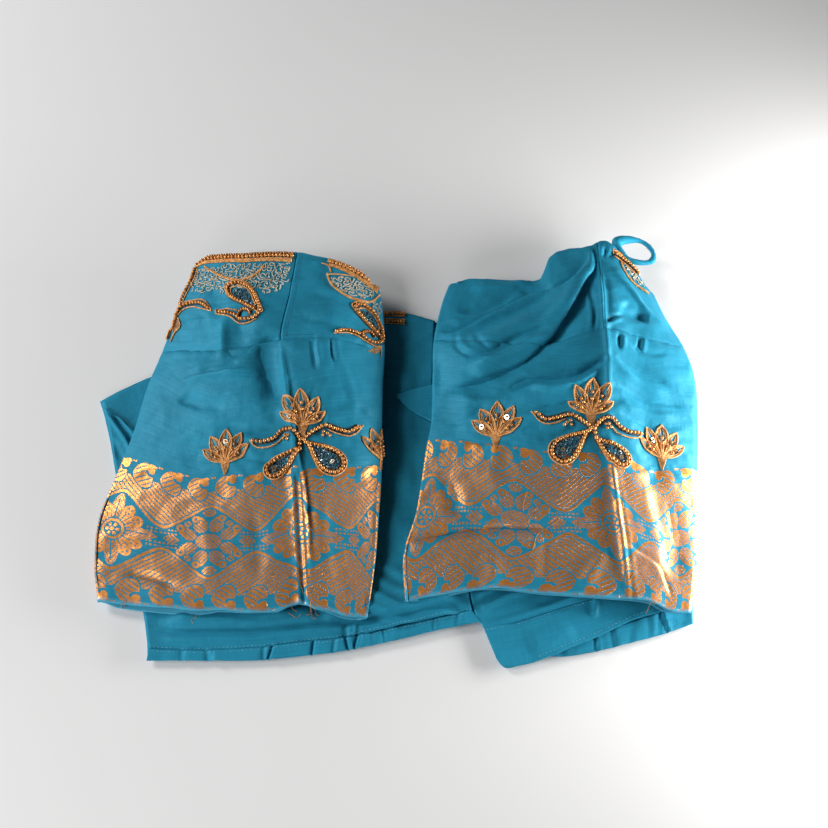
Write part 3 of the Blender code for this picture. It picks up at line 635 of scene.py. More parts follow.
def lay_flat(grid):
    """Cut cloth's own coordinates for a grid, from the runs along its middle row and column."""
    rows, cols = grid.shape[:2]
    u = run_along(grid[rows // 2])
    v = run_along(grid[:, cols // 2])
    lie = np.zeros((rows, cols, 2))
    lie[..., 0] = u[None, :] * MM
    lie[..., 1] = -v[:, None] * MM
    return lie


def rides(item, slot, *nodes):
    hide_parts(*nodes)
    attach(item, "root")


# ---------------------------------------------------------------- node materials

class Field:
    """One number or colour at each point of a surface, for writing patterns as sums."""

    def __init__(self, board, socket):
        self.board = board
        self.socket = socket

    def __rsub__(self, other):
        return self.board.maths("SUBTRACT", other, self)

    def __invert__(self):
        return self.board.maths("SUBTRACT", 1.0, self)


def add_sign(sign, kind):
    setattr(Field, sign, lambda self, other: self.board.maths(kind, self, other))


for sign, kind in (("__add__", "ADD"), ("__sub__", "SUBTRACT"), ("__mul__", "MULTIPLY"),
                   ("__gt__", "GREATER_THAN"), ("__lt__", "LESS_THAN"), ("__and__", "MULTIPLY"),
                   ("__or__", "MAXIMUM")):
    add_sign(sign, kind)


class Board:
    """Node tree of one material."""

    def __init__(self, name):
        self.material = bpy.data.materials.new(name)
        self.material.use_nodes = True
        self.nodes = self.material.node_tree.nodes
        self.links = self.material.node_tree.links
        self.shader = self.nodes["Principled BSDF"]

    def join(self, value, socket):
        if isinstance(value, Field):
            self.links.new(value.socket, socket)
        else:
            socket.default_value = value

    def maths(self, kind, *values):
        node = self.nodes.new("ShaderNodeMath")
        node.operation = kind
        for k, value in enumerate(values):
            self.join(value, node.inputs[k])
        return Field(self, node.outputs[0])

    def node(self, kind, settings=(), **inputs):
        node = self.nodes.new(kind)
        for key, value in dict(settings).items():
            setattr(node, key, value)
        for key, value in inputs.items():
            self.join(value, node.inputs[key.replace("_", " ")])
        return node

    def cloth_place(self):
        """The cut cloth's own coordinates, in mm."""
        node = self.node("ShaderNodeUVMap", {"uv_map": "cloth"})
        parts = self.node("ShaderNodeSeparateXYZ", Vector=Field(self, node.outputs[0]))
        return Field(self, parts.outputs[0]) * 1000.0, Field(self, parts.outputs[1]) * 1000.0

    def object_place(self):
        node = self.node("ShaderNodeTexCoord")
        return Field(self, node.outputs["Object"])

    def vector(self, x, y, z=0.0):
        node = self.node("ShaderNodeCombineXYZ", X=x, Y=y, Z=z)
        return Field(self, node.outputs[0])

    def noise(self, place, scale, detail=2.0, rough=0.5):
        node = self.node("ShaderNodeTexNoise", Vector=place, Scale=scale, Detail=detail, Roughness=rough)
        return Field(self, node.outputs[0])

    def curve(self, value, low, high, out_low=0.0, out_high=1.0):
        node = self.nodes.new("ShaderNodeMapRange")
        node.interpolation_type = "SMOOTHSTEP"
        for k, part in enumerate((value, low, high, out_low, out_high)):
            self.join(part, node.inputs[k])
        return Field(self, node.outputs[0])

    def blend(self, share, a, b):
        node = self.nodes.new("ShaderNodeMix")
        node.data_type = "RGBA"
        self.join(share, node.inputs[0])
        self.join(a, node.inputs[6])
        self.join(b, node.inputs[7])
        return Field(self, node.outputs[2])

    def bump(self, height, depth, strength=1.0, under=None):
        node = self.nodes.new("ShaderNodeBump")
        node.inputs["Strength"].default_value = strength
        node.inputs["Distance"].default_value = depth
        self.join(height, node.inputs["Height"])
        if under:
            self.join(under, node.inputs["Normal"])
        return Field(self, node.outputs[0])


def length_of(board, x, y):
    return board.maths("SQRT", x * x + y * y)


def colour(rgb):
    """Linear RGBA from the screen's 0 to 255 values."""
    c = np.asarray(rgb, dtype=float) / 255
    c = np.where(c <= 0.04045, c / 12.92, ((c + 0.055) / 1.055)**2.4)
    return (*c, 1.0)


def silk_weave(board, round_mm, up_mm):
    """Height of the plain weave with its uneven threads, and the slub streaks alone."""
    weft = board.noise(board.vector(round_mm * 0.05, up_mm * 2.4), 1.0, 2.0)
    warp = board.noise(board.vector(round_mm * 2.2, up_mm * 0.07), 1.0, 1.0)
    slub = board.noise(board.vector(round_mm * 0.035, up_mm * 0.9), 1.0, 3.0)
    return weft * 0.6 + warp * 0.4, slub


def dress_silk(board, tint, shade, gold=None, gold_tone=None):
    """Base colour, gloss and relief of the silk, with gold zari where gold is 1."""
    round_mm, up_mm = board.cloth_place()
    spot = board.object_place()
    thread, slub = silk_weave(board, round_mm, up_mm)
    cloudy = board.noise(spot, 22.0, 3.0, 0.55)
    base = board.blend(board.curve(cloudy, 0.3, 0.7), shade, tint)
    streak = tuple(1.22 * c for c in tint[:3]) + (1,)
    base = board.blend(board.curve(slub, 0.35, 0.75, 0.0, 0.35), base, streak)
    base = board.blend(board.curve(thread, 0.3, 0.7, 0.16, 0.0), base, (0.0, 0.02, 0.04, 1))
    shader = board.shader
    shader.inputs["Sheen Weight"].default_value = 0.10
    shader.inputs["Sheen Roughness"].default_value = 0.35
    shader.inputs["Sheen Tint"].default_value = (0.16, 0.68, 1.0, 1.0)
    shader.inputs["Specular IOR Level"].default_value = 0.38
    shader.inputs["Specular Tint"].default_value = (0.18, 0.72, 1.0, 1.0)
    rough = board.curve(slub, 0.2, 0.8, 0.54, 0.46)
    crease = board.noise(spot, 190.0, 3.0, 0.6)
    soft = board.noise(spot, 75.0, 2.0, 0.5)
    relief = board.bump(soft * 1.0 + crease * 0.35, 0.0012, 0.55)
    height = thread
    if gold is not None:
        floss = board.noise(board.vector(round_mm * 0.25, up_mm * 3.2), 1.0, 1.0)
        tone = board.blend(board.curve(floss, 0.3, 0.7), gold_tone[0], gold_tone[1])
        base = board.blend(gold, base, tone)
        rough = rough - gold * board.curve(floss, 0.3, 0.7, 0.10, 0.18)
        # paler blue along the hem's raw edge, fading within about 3 mm: a painted highlight on the edge
        edge = board.curve(up_mm, 0.6, 3.2, 0.55, 0.0)
        base = board.blend(edge, base, (0.12, 0.50, 0.72, 1))
        height = thread + gold * 1.3
        shader.inputs["Sheen Weight"].default_value = 0.04
        shader.inputs["Specular IOR Level"].default_value = 0.30
        shader.inputs["Specular Tint"].default_value = (0.30, 0.76, 0.94, 1.0)
        board.join(gold * 0.56, shader.inputs["Metallic"])
    relief = board.bump(height, 0.00016, 0.6, relief)
    board.join(base, shader.inputs["Base Color"])
    board.join(rough, shader.inputs["Roughness"])
    board.join(relief, shader.inputs["Normal"])
    return board.material


def brocade_pattern(board):
    """Where the gold zari shows in the sleeve's border: 1 on gold, 0 on the blue ground."""
    raw_round, raw_up = board.cloth_place()
    wobble = board.noise(board.vector(raw_round * 0.09, raw_up * 0.09), 1.0, 1.0) - 0.5
    along = board.maths("SNAP", raw_round * (1 / UNIT_ROUND) + wobble * 1.2, 0.42)
    up = board.maths("SNAP", raw_up * (1 / UNIT_UP) + wobble * 1.5, 0.42)
    rise = up - BORDER_UNITS / 2
    high = board.maths("ABSOLUTE", rise)
    count = board.maths("ROUND", along * (1 / CELL))
    cell = along - count * CELL
    side = board.maths("ABSOLUTE", cell)
    is_spray = board.maths("FRACT", board.maths("ABSOLUTE", count) * 0.5) > 0.25
    gold = border_bands(board, along, high, cell)
    mango, halo = mango_row(board, along, high)
    gold = (gold & ~halo) | mango
    # the wavy field between the bands, with its flowers in turn
    field = field_edge(board, cell) - high
    spray, rosette = spray_motif(board, side, high), rosette_motif(board, cell, rise, side, high)
    motif = is_spray * spray + (1.0 - is_spray) * rosette
    dot = length_of(board, board.maths("FRACT", along * 0.4) - 0.5, board.maths("FRACT", high * 0.4) - 0.5)
    dots = (dot < 0.29) & (side > 19.5) & (high > 2.6) & (high < 7.4)
    gold = gold | ((motif | dots) & (field > 1.2))
    return gold & (up > 0.8) & (up < 99.4)


def oval(board, x, y, round_radius, up_radius):
    """Below 1 inside an oval whose centre is where x and y are 0."""
    return length_of(board, x * (1 / round_radius), y * (1 / up_radius))


def field_edge(board, cell):
    """Height of the wavy edge between the middle field and the bands."""
    wave = board.maths("ARCSINE", board.maths("COSINE", cell * (2 * math.pi / CELL)) * 0.88)
    return wave * (9.4 / 1.0759) + 16.4


def border_bands(board, along, high, cell):
    beyond = high - field_edge(board, cell)
    inside = (beyond > 0.0) & (high < 38.4)
    ground = (beyond > 2.2) & (beyond < 3.1)
    slant = along * 0.25 + high * 0.336
    line = board.maths("FRACT", slant) < 0.31
    stitch = board.maths("FRACT", along * 0.27 - high * 0.30 + board.maths("FLOOR", slant) * 0.5) < 0.86
    return inside & ~(ground & stitch) & ~((beyond > 3.1) & line & stitch)


def mango_row(board, along, high):
    """Row of hooked mangoes outside each band, and the blue gap kept round them."""
    third = CELL / 3
    x = along - (board.maths("FLOOR", along * (1 / third)) + 0.5) * third
    y = high - 41.0
    leaning = x + 1.1 + board.maths("MINIMUM", y, 0.0) * 0.34
    body = oval(board, leaning, y + 0.5, 6.9, 8.5)
    across, above = x - 4.1, y - 4.2
    curl = length_of(board, across, above)
    ring = (curl < 4.3) & (above > across * 0.5 + 0.8)
    bay = (above < across * 0.5 + 0.8) & (curl > 2.6) & (curl < 4.4)
    slant = high * 0.27 - along * 0.19
    vein = (board.maths("FRACT", slant) < 0.26) & (oval(board, leaning, y + 0.5, 6.2, 7.7) < 1.0)
    beside = board.maths("ABSOLUTE", board.maths("ABSOLUTE", x) - 9.7)
    spot = length_of(board, beside - 0.9, high - 48.7) < 0.8
    mango = ((body < 1.0) & ~bay & ~(vein & (curl > 5.0))) | ring | (curl < 2.6)
    return mango | spot, (oval(board, leaning, y + 0.5, 7.8, 9.5) < 1.0) | (curl < 5.1)


def rosette_motif(board, cell, rise, side, high):
    """Round flower: dotted hub and ring, four pointed leaves and eight lobes between them."""
    far = length_of(board, side, high)
    turn = board.maths("ARCTAN2", high, side) * (6 / math.pi)
    nearest = board.maths("ROUND", turn)
    apart = board.maths("SINE", board.maths("ABSOLUTE", turn - nearest) * (math.pi / 6))
    off = far * apart
    on_axis = board.maths("ABSOLUTE", nearest - 1.5) > 1.0
    whole = board.maths("ARCTAN2", rise, cell)
    hub = (far < 1.4) | ((far > 2.2) & (far < 4.4) & (board.maths("COSINE", whole * 6.0) > -0.2))
    ring = (far > 5.4) & (far < 7.0)
    bow = (far - 16.0) * (1 / 9.8)
    leaf = on_axis & (off < (1.0 - bow * bow) * 4.3)
    leaf = leaf & ((off > 0.4) | (far > 21.0)) & (board.maths("FRACT", far * 0.34 + off * 0.46) > 0.22)
    knob = length_of(board, far - 15.6, off)
    lobe = ~on_axis & (((far < 15.6) & (off < far * 0.236)) | (knob < 3.9))
    eye = length_of(board, board.maths("ABSOLUTE", far - 15.2) - 1.5, board.maths("ABSOLUTE", off) - 1.1)
    lobe = lobe & (eye > 0.62) & ((off > 0.36) | (far > 12.6))
    outside = far > 7.7
    return hub | ring | (leaf & outside) | (lobe & outside)


def spray_motif(board, x, y):
    """Flower cluster: hatched middle, curled leaves round it, florets and arrow leaves beyond."""
    hatch = board.maths("FRACT", (y - x) * 0.37) > 0.27
    middle = (oval(board, x, y, 8.3, 5.8) < 1.0) & (board.maths("FRACT", (y * 1.2 - x) * 0.38) > 0.27)
    tall = oval(board, x - 5.2 - (y - 12.6) * 0.2, y - 12.6, 4.7, 5.9) < 1.0
    wide = oval(board, x - 13.0, y - 5.5 - (x - 13.0) * 0.2, 5.5, 4.6) < 1.0
    curl_a = length_of(board, x - 8.3, y - 17.0)
    curl_b = length_of(board, x - 17.6, y - 9.0)
    leaves = (tall & (curl_a > 3.4)) | (wide & (curl_b > 3.6))
    curls = ((curl_a < 2.6) & (curl_a > 0.9)) | ((curl_b < 2.8) & (curl_b > 1.0))
    stems = (curl_a < 4.0) & (y > 16.4) & (x < 7.4) & tall
    stems = stems | ((curl_b < 4.4) & (x > 15.4) & (y < 8.0) & wide)
    floret = (x < 4.6 - board.maths("ABSOLUTE", y - 21.6) * 0.6) & (y > 18.6)
    floret = floret & (board.maths("FRACT", (y - x * 0.9) * 0.36) > 0.28)
    heart = (oval(board, x - 13.2, y - 12.9, 2.3, 2.1) < 1.0) & (board.maths("ABSOLUTE", x - y) > 0.5)
    arrow = (y < (x - 18.6) * 0.85) & (y < (30.2 - x) * 0.62) & (y < 4.2)
    arrow = arrow & (board.maths("FRACT", (x - y) * 0.34) > 0.28)
    return middle | (leaves & hatch) | curls | stems | floret | heart | arrow


# ---------------------------------------------------------------- settings

class BlouseSettings(bpy.types.PropertyGroup):
    silk: FloatVectorProperty(name="Silk", description="Colour of the silk in plain light",
                              subtype="COLOR", size=3, default=colour((40, 140, 172))[:3])
    zari: FloatVectorProperty(name="Zari", description="Colour of the gold thread",
                              subtype="COLOR", size=3, default=colour((236, 156, 80))[:3])
    cloth: FloatProperty(name="Cloth", description="Thickness of the sleeves' and shoulders' silk",
                         subtype="DISTANCE", unit="LENGTH", default=0.55 * MM)
    bead: FloatProperty(name="Bead", description="Diameter of the round beads",
                        subtype="DISTANCE", unit="LENGTH", default=2.5 * MM)


def settings():
    return bpy.context.scene.blouse


def silk_tones(bright=1.0):
    base = np.array(settings().silk)
    return (*np.clip(base * 1.12 * bright, 0, 1), 1), (*np.clip(base * 0.88 * bright, 0, 1), 1)


def silk_cloth(slot="silk"):
    """Plain silk; that of silk_light is a little paler."""
    name = f"woven_{slot}"
    if name in bpy.data.materials:
        return bpy.data.materials[name]
    board = Board(name)
    tint, shade = silk_tones(1.06 if slot == "silk_light" else 1.0)
    return dress_silk(board, tint, shade)


def brocade_cloth():
    if "silk_brocade" in bpy.data.materials:
        return bpy.data.materials["silk_brocade"]
    board = Board("silk_brocade")
    tint, shade = silk_tones()
    gold = brocade_pattern(board)
    zari = np.array(settings().zari)
    tones = (*(zari * 0.72), 1), (*np.clip(zari * 1.12, 0, 1), 1)
    return dress_silk(board, tint, shade, gold, tones)


# ---------------------------------------------------------------- sleeves and shoulders

SIDES = {
    "left": dict(table=LEFT_SECTIONS, tucks=LEFT_TUCKS, reach=LOWER_CUFF, cuff=LEFT_CUFF, rise=LEFT_RISE,
                 anchors=((-173.5, -116), (-140.4, -87), (-111.8, -58), (-83.2, -29), (-56.2, 0), (-27.5, 29),
                          (-9.9, 58)),
                 seam=((-121, -52), (-76, -56.2), (-40, -59)), seed=3.0, depth=1.35),
    "right": dict(table=RIGHT_SECTIONS, tucks=RIGHT_TUCKS, reach=0.0, cuff=RIGHT_CUFF, rise=RIGHT_RISE,
                  anchors=((18.9, 116), (44.3, 87), (74.2, 58), (104.9, 29), (132.7, 0), (154.4, -29),
                           (174.1, -58)),
                  seam=((-119, 142.5), (-60, 138), (-30, 135)), seed=11.0, depth=1.65),
}


def sleeve_lie(outer, rows, anchors, rise_table):
    """Pattern place of each outer column, and height above the hem of each row, mm."""
    middle = np.abs(rows - 6.3).argmin()
    run = run_along(outer[middle])
    x = outer[middle, :, 0]
    span = slice(x.argmin(), x.argmax() + 1)
    at, units = np.array(anchors, dtype=float).T
    at = np.interp(at, x[span], run[span])
    way = np.sign(units[-1] - units[0]) / UNIT_ROUND
    place = np.interp(run, at, units)
    place += way * (np.minimum(run - at[0], 0) + np.maximum(run - at[-1], 0))
    place *= UNIT_ROUND
    border = np.abs(rows - ROW_BORDER).argmin()
    up = np.zeros(outer.shape[:2])
    for j in range(outer.shape[1]):
        fall = run_along(outer[::-1, j])[::-1]
        rise = table_at(outer[border, j, 0], rise_table)
        up[:, j] = fall * (BORDER_UNITS * UNIT_UP / (fall[border] + rise))
    return place, up


def near_armhole(rows, reach):
    return np.exp(-((rows - ROW_ARMHOLE) * ROW_STEP / reach)**2)[:, None]


def bridge(a, b, push, places):
    """Points between the edges a and b of two layers, pushed out by push at each (share, amount)."""
    return np.stack([a + (b - a) * k + push * h for k, h in places], axis=1)


def make_sleeve(side):
    facts = SIDES[side]
    rows = np.linspace(ROW_ARMHOLE, ROW_HEM, SLEEVE_ROWS)
    top_t = np.linspace(0, 4, SLEEVE_COLUMNS)
    outer, share = side_surface(facts["table"], facts["tucks"], rows, top_t, EDGE_COLUMNS)
    dip = ease((rows - 6.6) / (ROW_HEM - 6.6))[:, None]
    outer[..., 1] += dip * table_at(outer[..., 0], facts["cuff"])
    last = SLEEVE_COLUMNS + 2 * EDGE_COLUMNS - 1
    sparse = np.concatenate((np.arange(0, EDGE_COLUMNS, 2), np.arange(EDGE_COLUMNS, last - 7, 4),
                             np.arange(last - 6, last + 1, 2)))
    inner = outer[:, sparse]
    normal = outward(outer)[:, sparse]
    cuff = ease((rows - ROW_CUFF) / (ROW_HEM - ROW_CUFF))[:, None]
    middle = ease((np.minimum(sparse, last - sparse) - EDGE_COLUMNS) / 20.0)[None, :]
    inner = inner - normal * (1.5 + 2.7 * cuff * middle)[..., None]
    longer = table_at(inner[..., 0], LOWER_CUFF_SPAN)
    inner[..., 1] -= facts["reach"] * cuff**2 * longer * np.clip(middle * 4, 0, 1)
    place, up = sleeve_lie(outer, rows, facts["anchors"], facts["rise"])
    fine = silk_relief(outer, share, facts["seed"], facts["depth"])
    # the hem's own small waves, and the seam at the armhole drawn down
    hem = ease((rows - 7.7) / 0.3)[:, None]
    wave = grain(outer[..., 0], outer[..., 1] * 0.2, 9.0, facts["seed"] + 8)
    fine[..., 2] += hem * (0.5 * wave + 0.25) * share
    fine[..., 1] += hem * 0.7 * grain(outer[..., 0], outer[..., 0] * 0, 13.0, facts["seed"] + 9)
    seam = near_armhole(rows, 2.0)
    pucker = 0.22 * grain(outer[..., 0], outer[..., 1] * 0, 3.6, facts["seed"] + 5)
    border = ease((rows - ROW_BORDER + 0.1) / 0.3)[:, None]
    beside = outer[..., 0] - table_at(outer[..., 1], facts["seam"])
    gather = 0.55 + 0.45 * np.sin(outer[..., 1] / 1.25 + 0.9 * np.sin(outer[..., 1] / 6.0))
    drawn = 1.1 * np.exp(-(np.abs(beside) - 2.4)**2 / 1.6**2) * gather - 1.3 * np.exp(-(beside / 1.1)**2)
    fine[..., 2] += border * drawn * (1.0 if side == "left" else 0.45)
    near = near_armhole(rows, 7.0)
    fine[..., 2] += (near * pucker - 0.9 * seam) * share
    turn = []
    for a, b, before in ((fine[:, -1], inner[:, -1], fine[:, -2]), (inner[:, 0], fine[:, 0], fine[:, 1])):
        out = fine[:, 0] - before
        out /= np.linalg.norm(out, axis=-1, keepdims=True)
        half = np.linalg.norm(a - b, axis=-1, keepdims=True) / 2
        turn.append(bridge(a, b, out * half, ((0.2, 0.75), (0.5, 1.0), (0.8, 0.75))))
    ring = np.concatenate((fine, turn[0], inner[:, ::-1], turn[1], fine[:, :1]), axis=1)
    cols = ring.shape[1]
    lie = np.zeros((len(rows), cols, 2))
    under = np.linspace(0.005, 1, cols - len(place))
    step = np.concatenate((place, place[-1] + (place[-1] - place[0]) * under))
    lie[..., 0] = step[None, :] * MM
    near_up = np.concatenate((up, np.repeat(up[:, -1:], 3, 1), up[:, sparse][:, ::-1] - 5.0,
                              np.repeat(up[:, :1], 4, 1)), axis=1)
    lie[..., 1] = near_up * MM
    item = sheet_mesh(f"silk_sleeve_{side}", ring, lie, settings().cloth, brocade_cloth(), closed=True)
    rides(item, "brocade_sleeve", f"sleeve_{side}")
    return item


def make_shoulder(side, half):
    facts = SIDES[side]
    rows = np.linspace(0, ROW_ARMHOLE + 0.02, SHOULDER_ROWS)
    top_t = np.linspace(0, 4, SHOULDER_COLUMNS)
    full, share = side_surface(facts["table"], facts["tucks"], rows, top_t, EDGE_COLUMNS)
    fine = silk_relief(full, share, facts["seed"], facts["depth"])
    # the two seams drawn down, with small puckers beside them
    seam = near_armhole(rows, 2.0)
    fine[..., 2] -= 0.9 * seam * share
    ridge = EDGE_COLUMNS + SHOULDER_COLUMNS // 2
    front = (side, half) in (("left", "outer"), ("right", "inner"))
    grid = (fine[:, :ridge + 1] if front else fine[:, ridge:]).copy()
    end, beside = (-1, -2) if front else (0, 1)
    grid[:, end, 2] -= 0.5
    grid[:, end, 0] += 0.12 if front else -0.12
    grid[:, beside, 2] += 0.15
    # neck edge turned under as a facing
    normals = outward(grid)
    n = normals[0]
    away = grid[0] - grid[2]
    away /= np.linalg.norm(away, axis=-1, keepdims=True)
    facing = [grid[row] - normals[row] * 1.9 for row in (11, 8, 6, 4, 2)]
    for k in (0.83, 0.66, 0.5, 0.33, 0.16):
        bend = math.pi * k
        facing.append(grid[0] - n * (0.95 - 0.95 * math.cos(bend)) + away * 0.95 * math.sin(bend))
    grid = np.concatenate((np.array(facing), grid))
    item = sheet_mesh(f"silk_shoulder_{side}_{half}", grid, lay_flat(grid), settings().cloth, silk_cloth())
    rides(item, "silk" if front else "silk_light", f"shoulder_{side}_{'front' if front else 'back'}")
    return item


def hidden_layers(side):
    """Layers of the body folded away under one side, as one long sheet folded to and fro."""
    facts = SIDES[side]
    rows = np.linspace(0.5, 7.4, LAYER_ROWS)
    top_t = np.linspace(0.25, 3.75, LAYER_COLUMNS)
    full, _ = side_surface(facts["table"], facts["tucks"], rows, top_t, 2)
    roof = full[:, 2:-2].copy()
    roof[..., 2] = np.maximum(roof[..., 2] - 3.6, PAD_Z + 3.4)
    ends = 0.55 + 0.45 * np.minimum(ease((rows - 0.4) / 0.9), ease((7.7 - rows) / 0.8))
    strips = []
    for k in range(PASSES):
        share = (k + 0.12) / (PASSES - 0.76)
        layer = roof.copy()
        layer[..., 2] = PAD_Z + 0.7 + (roof[..., 2] - PAD_Z - 0.7) * share * ends[:, None]
        layer[..., 0] += 1.6 * math.sin(2.3 * k + facts["seed"])
        strips.append(layer if k % 2 == 0 else layer[:, ::-1])
    joined = [strips[0]]
    for low, high in zip(strips, strips[1:]):
        a, b = low[:, -1], high[:, 0]
        out = np.array((np.sign(a[0, 0] - low[0, 0, 0]), 0, 0))
        half = (b[:, 2] - a[:, 2])[:, None] / 2
        joined += [bridge(a, b, out * half, ((0.15, 0.7), (0.5, 1), (0.85, 0.7))), high]
    grid = np.concatenate(joined, axis=1)
    item = sheet_mesh(f"folded_layers_{side}", grid, lay_flat(grid), LAYER_WALL * MM, silk_cloth())
    rides(item, "silk", f"hidden_folds_{side}")
    return item


# ---------------------------------------------------------------- flat body pieces

def spaced(p, count):
    run = run_along(p)
    return np.column_stack([np.interp(np.linspace(0, run[-1], count), run, p[:, k]) for k in (0, 1)])


def along(line, count):
    """Points at equal steps along the smooth curve through line."""
    p = np.asarray(line, dtype=float)
    return spaced(curve_at(p, np.linspace(0, len(p) - 1, 12 * (len(p) - 1) + 1)), count)


def fill(top, bottom, left, right):
    """Grid of plan points filling four edges; the rows run from top to bottom."""
    v = np.linspace(0, 1, len(left))[:, None, None]
    u = np.linspace(0, 1, len(top))[None, :, None]
    corners = ((1 - u) * ((1 - v) * top[0] + v * bottom[0]) + u * ((1 - v) * top[-1] + v * bottom[-1]))
    plan = (1 - v) * top + v * bottom + (1 - u) * left[:, None] + u * right[:, None] - corners
    return np.concatenate((plan, np.zeros(plan.shape[:2] + (1,))), axis=2)


def patch(top, bottom, left, right, cols, rows):
    return fill(along(top, cols), along(bottom, cols), along(left, rows), along(right, rows))


def band(seam, hem, cols, rows):
    t, b = along(seam, cols), along(hem, cols)
    return fill(t, b, spaced(np.array((t[0], b[0])), rows), spaced(np.array((t[-1], b[-1])), rows))


def lay(name, node, grid, base, lift, slot):
    """Flat piece of cloth: lift(x, y) is its own relief above the base level."""
    grid[..., 2] = base + CLOTH + lift(grid[..., 0], grid[..., 1])
    item = sheet_mesh(name, grid, lay_flat(grid), FLAT_WALL * MM, silk_cloth(slot))
    rides(item, slot, node)
    return item


def calm(x, y):
    return 0.15 * crumple(x, y, 2.0)


def body_relief(x, y):
    wing = 1.2 * np.exp(-((x + 184)**2 / 9**2 + (y - 14)**2 / 12**2))
    gap = ease(np.minimum(x + 9, 15 - x) / 6) * ease(np.minimum(60 - y, y + 100) / 20)
    wave = 0.5 * gap * (1 + np.sin(y / 6.0 + 0.05 * x))
    low = ease((-84 - y) / 14) * ease((x + 24) / 12)
    wave = wave + low * (0.7 + 0.7 * np.sin(y / 1.7 + 0.16 * x + np.sin(x / 7.0)))
    line = y - np.interp(x, (-134, -84, -49, -25, 4, 30), (-131.6, -131, -127, -125.5, -122, -115))
    trough = ease(line / 2.4) * (2.2 + 1.8 * np.exp(-((line - 6) / 7.0)**2)) * np.exp(-(line / 24.0)**2)
    trough = np.where(line > 0, trough, 0) + 2.6 * np.exp(-((line + 5.4) / 2.8)**2)
    trough = trough * ease((x + 142) / 20) * ease((40 - x) / 12)
    return wing + wave + 0.7 * crumple(x, y, 5.0) + trough + crease_relief(x, y, BODY_CREASES)


def right_relief(x, y):
    under = np.interp(x, (84, 124.8, 150.9, 173), (-150, -136.6, -124.6, -117)) - y
    gathers = (hem_puckers(x, y) - 0.5) * ease((under - 0.5) / 2.0) * ease((x - 94) / 14)
    return 0.2 + 0.5 * crumple(x, y, 6.0) + crease_relief(x, y, BODY_CREASES) + gathers


def hem_puckers(x, y):
    """Gathers where the hem's stitching draws it in."""
    fine = np.sin(x / 1.9 + 1.3 * np.sin(x / 11.0)) * (0.6 + 0.4 * np.sin(x / 23.0 + 1.0))
    total = 0.5 + 0.13 * fine + 0.45 * crumple(x, y, 7.0)
    for k, place in enumerate(PUCKERS):
        lean = x - place + 0.25 * math.sin(k * 2.3) * (y + 135)
        strong = place in DEEP_PUCKERS
        deep = 1.3 if strong else 0.42 + 0.24 * math.sin(k * 1.7)
        wide = 0.8 if strong else 1.9 + 0.5 * math.sin(k * 2.9)
        total = total - deep * np.exp(-(lean / wide)**2)
        total = total + 0.6 * deep * np.exp(-((lean - 2.2 * wide) / (1.5 * wide))**2)
    return total


class BLOUSE_OT_body(bpy.types.Operator):
    """Lay the back, the two fronts, their hem bands and the turned-out neck corner"""
    bl_idname = "blouse.body"
    bl_label = "Body"

    def execute(self, context):
        back = lay("silk_back", "back_panel",
                   patch(BACK_TOP, BACK_SEAM, BACK_LEFT, BACK_RIGHT, 110, 60), 0.0, calm, "silk")
        band_back = lay("hem_band_back", "waistband_back", band(BACK_SEAM, BACK_HEM, 260, 10), 0.0,
                        lambda x, y: 0.8 * hem_puckers(x, y), "silk_light")
        front = lay("silk_front_left", "front_left",
                    patch(FRONT_LEFT_TOP, LEFT_SEAM, FRONT_LEFT_SIDE, FRONT_LEFT_EDGE, 125, 125), PANEL_Z,
                    body_relief, "silk")
        band_left = lay("hem_band_left", "waistband_left", band(LEFT_SEAM, LEFT_HEM, 420, 12), PANEL_Z,
                        hem_puckers, "silk_light")
        right = lay("silk_front_right", "front_right",
                    patch(FRONT_RIGHT_TOP, RIGHT_SEAM, FRONT_RIGHT_EDGE, FRONT_RIGHT_SIDE, 110, 132), PANEL_Z,
                    right_relief, "silk")
        band_right = lay("hem_band_right", "waistband_right", band(RIGHT_SEAM, RIGHT_HEM, 190, 26), PANEL_Z,
                         right_relief, "silk_light")
        sides = (CORNER_TOP[0], CORNER_BOTTOM[0]), (CORNER_TOP[-1], CORNER_BOTTOM[-1])
        corner = lay("neck_corner", "neck_corner_right", patch(CORNER_TOP, CORNER_BOTTOM, *sides, 30, 24),
                     CORNER_Z, calm, "silk_light")
        return {"FINISHED"}


class BLOUSE_OT_layers(bpy.types.Operator):
    """Fold the rest of the body away under each side"""
    bl_idname = "blouse.layers"
    bl_label = "Folded layers"

    def execute(self, context):
        for side, on in (("left", ["silk_front_left"]), ("right", ["silk_front_right", "silk_front_left"])):
            item = hidden_layers(side)
        return {"FINISHED"}


class BLOUSE_OT_shoulders(bpy.types.Operator):
    """Shape the four shoulder halves with their seams and turned neck edges"""
    bl_idname = "blouse.shoulders"
    bl_label = "Shoulders"

    def execute(self, context):
        for side, half, flat in (("left", "outer", (0.086, 0.090)), ("left", "inner", (0.066, 0.088)),
                                 ("right", "inner", (0.115, 0.085)), ("right", "outer", (0.060, 0.072))):
            item = make_shoulder(side, half)
        return {"FINISHED"}


class BLOUSE_OT_sleeves(bpy.types.Operator):
    """Shape the two flattened sleeves with their brocade borders"""
    bl_idname = "blouse.sleeves"
    bl_label = "Sleeves"

    def execute(self, context):
        for side, flat in (("left", (0.385, 0.165)), ("right", (0.390, 0.174))):
            item = make_sleeve(side)
        return {"FINISHED"}


# ---------------------------------------------------------------- neck loop

def turn_upright(work, axis):
    bmesh.ops.rotate(work, verts=work.verts, cent=(0, 0, 0), matrix=Matrix.Rotation(math.pi / 2, 3, axis))


